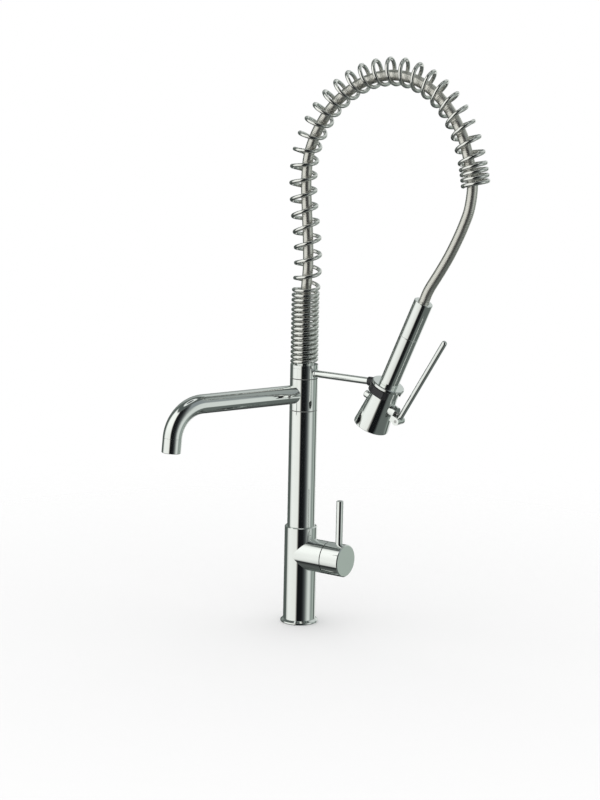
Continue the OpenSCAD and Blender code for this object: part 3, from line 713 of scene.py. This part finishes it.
class Route:
    """A smooth line that can be asked for its place and direction at a length."""

    def __init__(self, line: Line) -> None:
        """Measures the line.

        Args:
            line: Its points, in mm.
        """
        self.line = line
        self.upto = lengths(line)
        self.length = self.upto[-1]

    def at(self, s: float) -> Vector:
        """Gives the point at a length.

        Args:
            s: The length, in mm.

        Returns:
            The point.
        """
        s = min(max(s, 0.0), self.length)
        low, high = 0, len(self.line) - 1
        while high - low > 1:
            mid = (low + high) // 2
            low, high = (mid, high) if self.upto[mid] <= s else (low, mid)
        share = (s - self.upto[low]) / (self.upto[high] - self.upto[low])
        return self.line[low].lerp(self.line[high], share)

    def heading(self, s: float) -> Vector:
        """Gives the direction at a length."""
        return (self.at(min(s + LOOK_MM, self.length)) - self.at(max(s - LOOK_MM, 0))).normalized()


@dataclass
class Coil:
    """Spring wound round a route: closed turns at its foot and end, open turns between.

    Pitches are in mm to a turn, and the start is in degrees.
    """

    route: Route
    radius: float
    rise: float
    foot_pitch: float = 6.8
    foot_turns: float = 15
    open_turns: float = 28
    leg_pitch: float = 23.2
    end_pitch: float = 7.6
    end_turns: float = 3.5
    start: float = 170.0
    rings: int = 28

    def along(self, t: float) -> float:
        """Gives the length along the route after some turns.

        Args:
            t: The number of turns.

        Returns:
            The length, in mm.
        """
        foot = self.foot_turns * self.foot_pitch
        room = self.route.length - self.rise - foot - self.end_turns * self.end_pitch
        even = self.open_turns - 2
        arch = (2 * room - self.foot_pitch - self.end_pitch - self.leg_pitch * (even + 1)) / (even + 1)

        def ramp(u: float, n: float, p: float, q: float) -> float:
            """Length of u of n turns while the pitch goes from p to q."""
            return p * u + (q - p) * u * u / (2 * n)

        even_start, even_end = self.foot_turns + 1, self.foot_turns + 1 + even
        even_s = foot + ramp(1, 1, self.foot_pitch, self.leg_pitch)
        open_end = even_s + ramp(even, even, self.leg_pitch, arch)
        if t < self.foot_turns:
            s = t * self.foot_pitch
        elif t < even_start:
            s = foot + ramp(t - self.foot_turns, 1, self.foot_pitch, self.leg_pitch)
        elif t < even_end:
            s = even_s + ramp(t - even_start, even, self.leg_pitch, arch)
        elif t < even_end + 1:
            s = open_end + ramp(t - even_end, 1, arch, self.end_pitch)
        else:
            s = foot + room + (t - even_end - 1) * self.end_pitch
        return self.rise + s

    def wire(self) -> Line:
        """Gives the centre line of the wire.

        Returns:
            Its points, in mm.
        """
        turns = self.foot_turns + self.open_turns + self.end_turns
        line: Line = []
        for i in range(round(turns * self.rings) + 1):
            t = i / self.rings
            s, a = self.along(t), math.radians(360 * t + self.start)
            ahead = self.route.heading(s)
            out = Vector((math.cos(a) * ahead.z, math.sin(a), -math.cos(a) * ahead.x))
            line.append(self.route.at(s) + self.radius * out)
        return line


# ---------------------------------------------------------------- sub-assemblies


@dataclass
class Assembly:
    """A sub-assembly: builds its pieces, dresses them and hands them to the frame."""

    frame: dict
    body: Body = Body.COLUMN

    @property
    def nodes(self) -> dict[str, Piece]:
        """The frame's nodes, by name."""
        return self.frame["nodes"]

    def build(self) -> None:
        """Builds and dresses the pieces. Each sub-assembly has its own."""
        raise NotImplementedError

    def finish_piece(self, piece: Piece, finish: Finish, *nodes: str) -> None:
        """Dresses a piece and hides the nodes that it stands for.

        Args:
            piece: The piece.
            finish: Its finish.
            nodes: The nodes that it replaces.
        """
        piece.data.materials.clear()
        piece.data.materials.append(made(finish))
        if nodes:
            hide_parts(*nodes)
        LOG.info("%s, %d faces", piece.name, len(piece.data.polygons))

    def stand_in(self, piece: Piece, finish: Finish, *nodes: str) -> None:
        """Dresses a piece, hides the nodes that it stands for, and lets it ride on the body."""
        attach(piece, self.body.value)
        self.finish_piece(piece, finish, *nodes)

    def ease(
        self, node: str, name: str, edge_mm: float, finish: Finish = CHROME, rounds: Sequence[Round] = ()
    ) -> None:
        """Lets an eased copy of a node, under a new name, stand in for it."""
        self.stand_in(eased(name, self.nodes[node], edge_mm, rounds), finish, node)

    def turn(
        self, node: str, name: str, outline: Outline, place: Matrix | None = None, steps: int = TURN_STEPS
    ) -> None:
        """Lets a turned chrome piece stand in for a node."""
        self.stand_in(turned(name, outline, place, steps), CHROME, node)

    def dress(self, finish: Finish, *nodes: str) -> None:
        """Gives nodes that keep their own shape a better material.

        Args:
            finish: The finish.
            nodes: The nodes' names.
        """
        for name in nodes:
            for slot in self.nodes[name].material_slots:
                slot.material = made(finish)
            LOG.info("%s keeps its shape, in %s", name, finish.name)


@dataclass(frozen=True)
class Heights:
    """Heights of the stacked pieces of the column, in mm."""

    body_top: float = 144.0
    tube: float = 170.6
    glide: float = 1.0
    gap: float = 0.15
    collar: float = 45.3
    hook_ring: float = 14.7
    seat: float = 4.5

    @property
    def tube_top(self) -> float:
        """Top of the column tube."""
        return self.body_top + self.tube

    @property
    def collar_foot(self) -> float:
        """Foot of the spout collar."""
        return self.tube_top + self.glide + self.gap

    @property
    def step(self) -> float:
        """Foot of the upper glide ring."""
        return self.collar_foot + self.collar + self.gap

    @property
    def hook_foot(self) -> float:
        """Foot of the hook ring."""
        return self.step + self.glide + self.gap

    @property
    def arm(self) -> float:
        """Axis of the hook arm."""
        return self.hook_foot + self.hook_ring / 2

    @property
    def seat_top(self) -> float:
        """Top of the spring seat's disc."""
        return self.hook_foot + self.hook_ring + self.seat


@dataclass(frozen=True)
class SprayAxis:
    """Axis of the hand spray in its fork, from the middle of its bell's rim, in mm and degrees."""

    x: float = 117.08
    z: float = 306.02
    lean: float = 23.9

    @property
    def ahead(self) -> Vector:
        """Direction from the bell to the handle."""
        return Vector((math.sin(math.radians(self.lean)), 0, math.cos(math.radians(self.lean))))

    @property
    def place(self) -> Matrix:
        """Place of the spray: +Z along its axis from the bell's rim, +X towards the lever."""
        return Matrix.Translation((self.x, 0, self.z)) @ Matrix.Rotation(math.radians(self.lean), 4, "Y")


@dataclass
class MixerBody(Assembly):
    """Base ring, gasket and body with the lever housing."""

    base_d: float = 54.5
    base_h: float = 5.5
    spigot_d: float = 42.1
    body_d: float = 47.0
    axis_z: float = 103.0
    groove_in: float = 22.825
    groove_out: float = 25.425
    groove_h: float = 2.0

    def base_outline(self) -> Outline:
        """Gives the base ring's outline, with the gasket's groove in its foot.

        Returns:
            The outline.
        """
        r = self.base_d / 2
        return [
            (self.spigot_d / 2, 0),
            (self.groove_in, 0),
            (self.groove_in, self.groove_h),
            (self.groove_out, self.groove_h),
            (self.groove_out, 0),
            (r - 1, 0, 0.2),
            (r, 1, 0.5),
            (r, self.base_h / 2 + 0.2, 0.4),
            (self.body_d / 2 + 0.6, self.base_h, 0.3),
            (self.spigot_d / 2, self.base_h),
        ]

    def build(self) -> None:
        """Builds the base ring and the body, and dresses what they hide."""
        self.turn("base_ring", "base_flange", self.base_outline())
        rounds = (
            Round(Vector((0, 0, 0)), Vector((0, 0, 1)), self.body_d / 2),
            Round(Vector((0, 0, self.axis_z)), Vector((1, 0, 0)), self.body_d / 2),
        )
        self.ease("valve_body", "mixer_housing", 0.25, rounds=rounds)
        self.dress(RUBBER, "deck_gasket", "cartridge_seals", "spout_seals")
        self.dress(PALE_PLASTIC, "mixing_cartridge")
        self.dress(BRASS, "cartridge_nut", "riser_pipe", "swivel_core", "riser_nipple")
        self.dress(STEEL, "retaining_clip")


@dataclass
class MixerLever(Assembly):
    """Turning cap on the side of the body, with its pin."""

    body: Body = Body.MIXER_LEVER
    axis_z: float = 103.0
    cap_d: float = 47.0
    pin_x: float = 67.5
    pin_d: float = 10.0
    foot_d: float = 8.0
    foot_z: float = 6.0
    seat_z: float = 13.0
    pin_top: float = 87.0

    def pin_outline(self) -> Outline:
        """Gives the pin's outline, with a shallow dome on its tip.

        Returns:
            The outline.
        """
        r = self.pin_d / 2
        return [
            (0, self.foot_z),
            (self.foot_d / 2, self.foot_z),
            (self.foot_d / 2, self.seat_z),
            (r, self.seat_z),
            (r, self.pin_top - 0.35, 1.0),
            (r - 1.6, self.pin_top, 0.6),
            (0, self.pin_top),
        ]

    def build(self) -> None:
        """Builds the cap and the pin."""
        round_side = Round(Vector((0, 0, self.axis_z)), Vector((1, 0, 0)), self.cap_d / 2)
        self.ease("lever_cap", "lever_cap_shell", 0.2, rounds=(round_side,))
        place = Matrix.Translation((self.pin_x, 0, self.axis_z))
        self.turn("lever_pin", "lever_rod", self.pin_outline(), place, ROD_STEPS)
        self.dress(STEEL, "lever_spindle", "cap_screw")


@dataclass
class Column(Assembly):
    """Column tube and glide rings."""

    heights: Heights = Heights()
    outer_d: float = 40.0
    wall: float = 1.8

    def build(self) -> None:
        """Builds the tube and dresses the glide rings."""
        r, bore = self.outer_d / 2, self.outer_d / 2 - self.wall
        low, high = self.heights.body_top, self.heights.tube_top
        outline = [(bore, low), (r, low, 0.3), (r, high, 0.3), (bore, high)]
        self.turn("column_tube", "column_shell", outline)
        self.dress(GREY_PLASTIC, "lower_glide_ring", "upper_glide_ring")


@dataclass
class Spout(Assembly):
    """Swivel collar with the spout tube and its aerator."""

    body: Body = Body.SPOUT
    collar_edge: float = 0.2
    tube_edge: float = 0.15

    def build(self) -> None:
        """Builds the collar, the tube and the aerator's shell."""
        self.ease("spout_collar", "collar_shell", self.collar_edge)
        self.ease("spout_tube", "spout_pipe", self.tube_edge)
        self.ease("aerator_shell", "aerator_housing", self.tube_edge)
        self.dress(PALE_PLASTIC, "aerator_insert")
        self.dress(RUBBER, "aerator_seal")
        self.dress(STEEL, "spout_screw")


@dataclass
class Hook(Assembly):
    """Turning ring with the arm, the fork and the spring's seat."""

    body: Body = Body.SWING
    heights: Heights = Heights()
    arm_d: float = 10.0
    arm_len: float = 112.0
    root_x: float = 20.0
    tenon_d: float = 6.0
    inner_x: float = 15.6
    tip_x: float = 117.5

    def arm_outline(self) -> Outline:
        """Gives the arm's outline along its axis, with a collar at its root.

        Returns:
            The outline.
        """
        r, t = self.arm_d / 2, self.tenon_d / 2
        return [
            (0, self.inner_x),
            (t, self.inner_x),
            (t, self.root_x - 1),
            (r + 1, self.root_x - 1),
            (r + 1, self.root_x + 1.5, 0.5),
            (r, self.root_x + 1.5, 0.4),
            (r, self.arm_len, 0.3),
            (t, self.arm_len),
            (t, self.tip_x),
            (0, self.tip_x),
        ]

    def build(self) -> None:
        """Builds the ring, the arm, the fork and the seat."""
        self.ease("hook_ring", "hook_collar", 0.2)
        self.turn("hook_arm", "hook_rod", self.arm_outline(), along_x(self.heights.arm), ROD_STEPS)
        self.ease("hook_fork", "spray_fork", 0.5, DARK_PLASTIC)
        self.ease("spring_seat", "spring_saddle", 0.3)


@dataclass
class SprungHose(Assembly):
    """The arch: the spring's wire, and the hose from the column to the spray's handle."""

    heights: Heights = Heights()
    spray: SprayAxis = SprayAxis()
    spring_d: float = 40.5
    wire_d: float = 5.6
    seat_gap: float = 0.3
    hose_d: float = 15.0
    hose_foot: float = 402.85
    rib_pitch: float = 2.4
    rib_depth: float = 0.22
    handle_len: float = 201.8
    straight: float = 19.5
    hose_in: float = 9.0
    flex_start: float = 5.0
    flex_end: float = 68.0
    leg_points: int = 3
    spring_steps: int = 6
    hose_steps: int = 8
    hose_sides: int = 24
    wire_sides: int = 14

    # Points of the arch: x, height over the seat, and how far the hose lies to the arch's inside.
    ARCH = (
        (0, 0, 0), (0, 30, 0), (0, 65, 0), (0, 100, 0), (3, 140, 0), (1, 180, 1), (-5, 222, 4),
        (-8, 262, 5), (-4, 302, 5), (12, 340, 5), (39, 376, 5), (77, 404, 5), (118, 419, 5),
        (160, 420, 5), (199, 406, 5), (232, 379, 5), (256, 343, 5), (270, 303, 5), (275.3, 275, 5),
    )
    # Points of the free hose between the spring's end and the handle: x and height over the seat.
    DROP = ((267, 243), (259, 220), (249, 198), (237, 175), (223, 152))

    def spring_line(self) -> Line:
        """Gives the centre line of the spring's wire.

        Returns:
            Its points, in mm.
        """
        top = self.heights.seat_top
        route = Route(smooth_line([Vector((x, 0, z + top)) for x, z, _ in self.ARCH], self.spring_steps))
        return Coil(route, (self.spring_d - self.wire_d) / 2, self.wire_d / 2 + self.seat_gap).wire()

    def hose_line(self) -> Line:
        """Gives the hose's centre line, from its ferrule to its seat in the handle.

        Returns:
            Its points, in mm.
        """
        top, axis = self.heights.seat_top, self.spray.ahead
        flat = [Vector((x, 0, z)) for x, z, _ in self.ARCH]
        points = [Vector((0, 0, self.hose_foot)), Vector((0, 0, self.hose_foot + self.hose_d))]
        for i in range(self.leg_points, len(flat)):
            ahead = (flat[min(i + 1, len(flat) - 1)] - flat[i - 1]).normalized()
            points.append(flat[i] + Vector((0, 0, top)) + self.ARCH[i][2] * Vector((ahead.z, 0, -ahead.x)))
        points += [Vector((x, 0, z + top)) for x, z in self.DROP]
        mouth = Vector((self.spray.x, 0, self.spray.z)) + self.handle_len * axis
        points += [mouth + self.straight * axis, mouth, mouth - self.hose_in * axis]
        return smooth_line(points, self.hose_steps)

    def flexing(self, piece: Piece) -> None:
        """Bakes the place of the spring or the hose into its mesh.

        Args:
            piece: The spring or the hose.
        """
        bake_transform(piece)

    def build(self) -> None:
        """Builds the hose and winds the spring round it."""
        line = self.hose_line()
        ribbed = ribbed_tree(self.hose_d, self.rib_pitch, self.rib_depth, self.hose_sides)
        hose = ribbed.make("spray_hose_cover", made(HOSE_METAL), line)
        self.finish_piece(hose, HOSE_METAL, "spray_hose")
        self.flexing(hose)
        wound = wire_tree(self.wire_d, self.wire_sides)
        wire = wound.make("arch_spring_wire", made(SPRING_WIRE), self.spring_line())
        self.finish_piece(wire, SPRING_WIRE, "arch_spring")
        self.flexing(wire)
        self.dress(CHROME, "lower_ferrule")


@dataclass
class HandSpray(Assembly):
    """The hand spray: bell, valve body, handle and the lever's bracket."""

    body: Body = Body.SPRAY
    spray: SprayAxis = SprayAxis()
    handle_d: float = 27.0
    bore_d: float = 22.0
    grip_foot: float = 69.6
    grip_len: float = 76.5
    socket_len: float = 20.0
    spigot_len: float = 8.0
    spigot_wall: float = 2.0
    spigot_gap: float = 0.05
    sleeve_len: float = 55.7
    mouth_len: float = 5.0
    mouth_gap: float = 0.3
    hose_d: float = 15.0
    valve_z: float = 38.0
    valve_keep: float = 0.74
    face_z: float = 3.0
    jet_d: float = 2.0
    lip: float = 1.3
    nozzle_rings: tuple[tuple[int, float], ...] = ((14, 18.9), (8, 12.7))
    coil_r: float = 3.3
    coil_wire: float = 1.0
    coil_x: tuple[float, float] = (-11.3, -5.0)
    coil_turns: int = 5
    coil_rings: int = 24
    coil_sides: int = 10

    def grip_outline(self) -> Outline:
        """Gives the grip's outline, with the spigot that the sleeve sits on.

        Returns:
            The outline.
        """
        r, b, z, top = self.handle_d / 2, self.bore_d / 2, self.grip_foot, self.grip_foot + self.grip_len
        return [
            (b, z),
            (r, z, 0.3),
            (r, top, 0.6),
            (b - self.spigot_gap, top),
            (b - self.spigot_gap, top + self.spigot_len),
            (b - self.spigot_wall, top + self.spigot_len),
            (b - self.spigot_wall, z + self.socket_len),
            (b, z + self.socket_len),
        ]

    def sleeve_outline(self) -> Outline:
        """Gives the sleeve's outline, with its mouth for the hose.

        Returns:
            The outline.
        """
        r, b, z = self.handle_d / 2, self.bore_d / 2, self.grip_foot + self.grip_len
        top, mouth = z + self.sleeve_len, self.hose_d / 2 + self.mouth_gap
        return [
            (b, z),
            (r, z, 0.6),
            (r, top, 1.2),
            (mouth, top, 0.4),
            (mouth, top - self.mouth_len),
            (b, top - self.mouth_len),
        ]

    def build(self) -> None:
        """Builds the spray's pieces."""
        self.ease("spray_body", "spray_valve_body", 0.25)
        self.ease("spray_bell", "spray_bell_shell", 0.2)
        self.ease("lever_bracket", "lever_yoke", 0.25)
        self.ease("valve_cap", "valve_plug", 0.15)
        self.turn("handle_grip", "handle_tube", self.grip_outline(), self.spray.place)
        self.turn("handle_sleeve", "handle_collar", self.sleeve_outline(), self.spray.place)
        self.ease("pivot_pin", "yoke_pin", 0.3, STEEL)
        self.build_face()
        self.build_return_spring()
        self.dress(STEEL, "face_screw", "valve_plunger")
        self.dress(CHROME, "hose_socket")

    def build_face(self) -> None:
        """Builds the spray's face and sets the nozzles on it."""
        self.ease("spray_face", "spray_plate", 0.2, DARK_PLASTIC)
        lips = nozzle_tree(self.nozzle_rings, self.jet_d, self.lip).make("spray_nozzles", made(RUBBER))
        to_face = self.spray.place @ Matrix.Translation((0, 0, self.face_z))
        lips.data.transform(Matrix.Scale(MM, 4) @ to_face @ Matrix.Scale(1 / MM, 4))
        self.stand_in(lips, RUBBER)

    def build_return_spring(self) -> None:
        """Winds the valve's return spring, between its plug and the plunger's head, which squeezes it."""
        place, (x0, x1), last = self.spray.place, self.coil_x, self.coil_turns * self.coil_rings
        line = []
        for t in (k / last for k in range(last + 1)):
            a = 2 * math.pi * self.coil_turns * t
            y, z = self.coil_r * math.cos(a), self.valve_z + self.coil_r * math.sin(a)
            line.append(place @ Vector((x0 + (x1 - x0) * t, y, z)))
        wound = wire_tree(self.coil_wire, self.coil_sides)
        coil = wound.make("valve_return_spring", made(STEEL), line)
        self.stand_in(coil, STEEL, "valve_spring")
        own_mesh(coil)


@dataclass
class SprayTrigger(Assembly):
    """The rod lever beside the spray's handle."""

    body: Body = Body.TRIGGER
    edge: float = 0.3

    def build(self) -> None:
        """Builds the lever."""
        self.ease("spray_lever", "squeeze_lever", self.edge)


# ---------------------------------------------------------------- studio


class Room(Nodes):
    """The world: white to the eye, even to matt surfaces, softboxes and dark cards to gloss.

    Heights in it are sines of the elevation, and angles are azimuths in degrees.
    """

    BANDS = (
        (-180, (0.84, 0.87, 0.84)), (-160, (0.80, 0.84, 0.81)), (-152, (0.10, 0.12, 0.11)),
        (-76, (0.10, 0.12, 0.11)), (-66, (0.80, 0.82, 0.79)), (-50, (1.00, 1.02, 0.99)),
        (6, (0.94, 0.95, 0.91)), (11, (0.50, 0.49, 0.46)), (16, (0.07, 0.068, 0.065)),
        (20, (0.006, 0.007, 0.008)), (50, (0.010, 0.011, 0.012)), (62, (0.035, 0.04, 0.042)),
        (74, (0.13, 0.14, 0.14)), (85, (0.38, 0.41, 0.39)), (96, (0.68, 0.72, 0.69)),
        (109, (0.72, 0.76, 0.73)), (121, (0.38, 0.42, 0.40)), (132, (0.24, 0.28, 0.26)),
        (141, (0.40, 0.46, 0.42)), (150, (0.40, 0.46, 0.42)), (157, (0.10, 0.12, 0.11)),
        (170, (0.12, 0.14, 0.13)), (179.9, (0.84, 0.87, 0.84)),
    )

    def __init__(self) -> None:
        """Starts an empty world, and measures a ray's azimuth and height in it."""
        world = bpy.data.worlds.new("studio")
        bpy.context.scene.world = world
        world.use_nodes = True
        super().__init__(world.node_tree)
        self.tree.nodes.clear()
        direction = self.add("ShaderNodeTexCoord").outputs["Generated"]
        split = self.add("ShaderNodeSeparateXYZ", {0: direction}).outputs
        self.around = self.math("ARCTAN2", split[0], self.math("MULTIPLY", split[1], -1.0))
        self.up = split[2]

    def turn(self, value: Socket, low: float, high: float) -> Socket:
        """Goes smoothly from 0 to 1 between two angles."""
        return self.rise(value, math.radians(low), math.radians(high))

    def ring(self) -> Socket:
        """Draws the ring of softboxes and cards.

        Returns:
            Its colour.
        """
        turn = self.math("ADD", self.math("DIVIDE", self.around, 2 * math.pi), 0.5)
        ramp = self.add("ShaderNodeValToRGB", {0: turn})
        stops = ramp.color_ramp.elements
        while len(stops) < len(self.BANDS):
            stops.new(0.5)
        for stop, (angle, color) in zip(stops, self.BANDS):
            stop.position, stop.color = (angle + 180) / 360, (*color, 1)
        return ramp.outputs[0]

    def gloss(self) -> Socket:
        """Draws what gloss sees.

        Returns:
            Its colour.
        """
        up, down = self.up, self.math("MULTIPLY", self.up, -1.0)
        right = self.turn(self.around, 50, 66)
        # The ring dims downwards and brightens a little upwards, but not on its right.
        steep = self.math("ADD", 0.62, self.math("MULTIPLY", self.rise(up, -0.75, -0.12), 0.38))
        fall = self.math("ADD", steep, self.math("MULTIPLY", self.rise(up, 0.0, 0.5), 0.12))
        left = self.math("MULTIPLY", self.math("SUBTRACT", 1.0, right), fall)
        strength = self.math("ADD", left, self.math("MULTIPLY", right, 1.0))
        inputs = {0: self.ring(), "Scale": strength}
        lit = self.add("ShaderNodeVectorMath", inputs, operation="SCALE").outputs[0]
        # A dark bench under it, paler straight down, and a card low on the right.
        bench = self.mix(self.rise(down, 0.62, 0.85), (0.014, 0.015, 0.016), (0.10, 0.11, 0.105))
        seen = self.mix(self.rise(down, 0.54, 0.64), lit, bench)
        low_right = self.math("MULTIPLY", right, self.rise(down, 0.44, 0.57))
        seen = self.mix(low_right, seen, (0.13, 0.15, 0.14))
        # A grey card high on the right, and a pale wall high behind.
        raised = self.math("MULTIPLY", self.turn(self.around, 70, 84), self.rise(up, 0.22, 0.40))
        seen = self.mix(raised, seen, (0.26, 0.29, 0.30))
        aback = self.math("ABSOLUTE", self.around)
        behind = self.math("MULTIPLY", self.turn(aback, 96, 122), self.rise(up, 0.10, 0.40))
        wall = self.mix(self.turn(aback, 138, 166), (0.33, 0.36, 0.345), (0.62, 0.66, 0.64))
        seen = self.mix(behind, seen, wall)
        # A dark ceiling with a bright strip round its middle.
        seen = self.mix(self.rise(up, 0.79, 0.86), seen, (0.10, 0.115, 0.11))
        inner = self.math("SUBTRACT", 1.0, self.rise(up, 0.985, 0.992))
        strip = self.math("MULTIPLY", self.rise(up, 0.955, 0.965), inner)
        return self.mix(strip, seen, (0.85, 0.88, 0.86))

    def build(self) -> None:
        """Lights the world."""
        ray = self.add("ShaderNodeLightPath").outputs
        white = (1.0, 1.0, 1.0)
        seen = self.mix(ray["Is Camera Ray"], self.mix(ray["Is Glossy Ray"], white, self.gloss()), white)
        light = self.add("ShaderNodeBackground", {"Color": seen, "Strength": 1.0})
        self.add("ShaderNodeOutputWorld", {"Surface": light.outputs[0]})


@dataclass
class Studio:
    """Pale floor, the room round it, and the camera."""

    azimuth: float = 35.0
    elevation: float = 10.6
    distance: float = 3.306
    aim: Triple = (0.0, 0.0, 0.320)
    roll: float = 1.2
    pixel_mm: float = 1.44
    image: tuple[int, int] = (600, 800)
    aim_pixel: tuple[float, float] = (303.4, 406.0)
    sensor_mm: float = 36.0
    view_end: float = 100.0
    floor_radius: float = 1.6
    floor_sides: int = 96
    floor_tone: float = 0.97
    floor_fade: tuple[float, float] = (0.25, 1.2)

    def camera(self) -> None:
        """Sets the camera."""
        a, e = math.radians(self.azimuth), math.radians(self.elevation)
        back = Vector((math.sin(a) * math.cos(e), -math.cos(a) * math.cos(e), math.sin(e)))
        data = bpy.data.cameras.new("camera")
        data.sensor_fit, data.sensor_width = "HORIZONTAL", self.sensor_mm
        data.lens = self.sensor_mm * (self.distance / (self.pixel_mm * MM)) / self.image[0]
        data.shift_x = (self.image[0] / 2 - self.aim_pixel[0]) / self.image[0]
        data.shift_y = (self.aim_pixel[1] - self.image[1] / 2) / self.image[0]
        data.clip_end = self.view_end
        camera = bpy.data.objects.new("camera", data)
        bpy.context.scene.collection.objects.link(camera)
        turn = back.to_track_quat("Z", "Y").to_matrix().to_4x4()
        roll = Matrix.Rotation(math.radians(self.roll), 4, "Z")
        camera.matrix_world = Matrix.Translation(Vector(self.aim) + back * self.distance) @ turn @ roll
        bpy.context.scene.camera = camera

    def floor(self) -> None:
        """Lays a round pale floor that fades into the room, and that gloss doesn't see."""
        mesh = bpy.data.meshes.new("floor")
        bm = bmesh.new()
        bmesh.ops.create_circle(bm, cap_ends=True, segments=self.floor_sides, radius=self.floor_radius)
        bm.to_mesh(mesh)
        bm.free()
        floor = bpy.data.objects.new("floor", mesh)
        bpy.context.scene.collection.objects.link(floor)
        sh = Shader("floor")
        sh.show("Base Color", (self.floor_tone, self.floor_tone, self.floor_tone, 1))
        sh.show("Roughness", 1.0)
        sh.show("Specular IOR Level", 0.0)
        away = sh.add("ShaderNodeVectorMath", {0: sh.places}, operation="LENGTH").outputs["Value"]
        gloss = sh.add("ShaderNodeLightPath").outputs["Is Glossy Ray"]
        gone = sh.math("MAXIMUM", sh.rise(away, *self.floor_fade), gloss)
        clear = sh.add("ShaderNodeBsdfTransparent").outputs[0]
        mixed = sh.add("ShaderNodeMixShader", {0: gone, 1: sh.surface.outputs[0], 2: clear})
        sh.feed(sh.tree.nodes["Material Output"].inputs["Surface"], mixed.outputs[0])
        mesh.materials.append(sh.material)

    def build(self) -> None:
        """Sets the camera, the room and the floor."""
        self.camera()
        Room().build()
        self.floor()
        bpy.context.scene.view_settings.view_transform = "Standard"


def main() -> None:
    """Loads the frame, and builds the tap's sub-assemblies in order."""
    logging.basicConfig(level=logging.INFO, format="%(name)s: %(message)s")
    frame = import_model()
    builders: tuple[type[Assembly], ...] = (
        MixerBody, MixerLever, Column, Spout, Hook, SprungHose, HandSpray, SprayTrigger,
    )
    Studio().build()
    for builder in builders:
        LOG.info("building %s", builder.__name__)
        builder(frame).build()


if __name__ == "__main__":
    main()
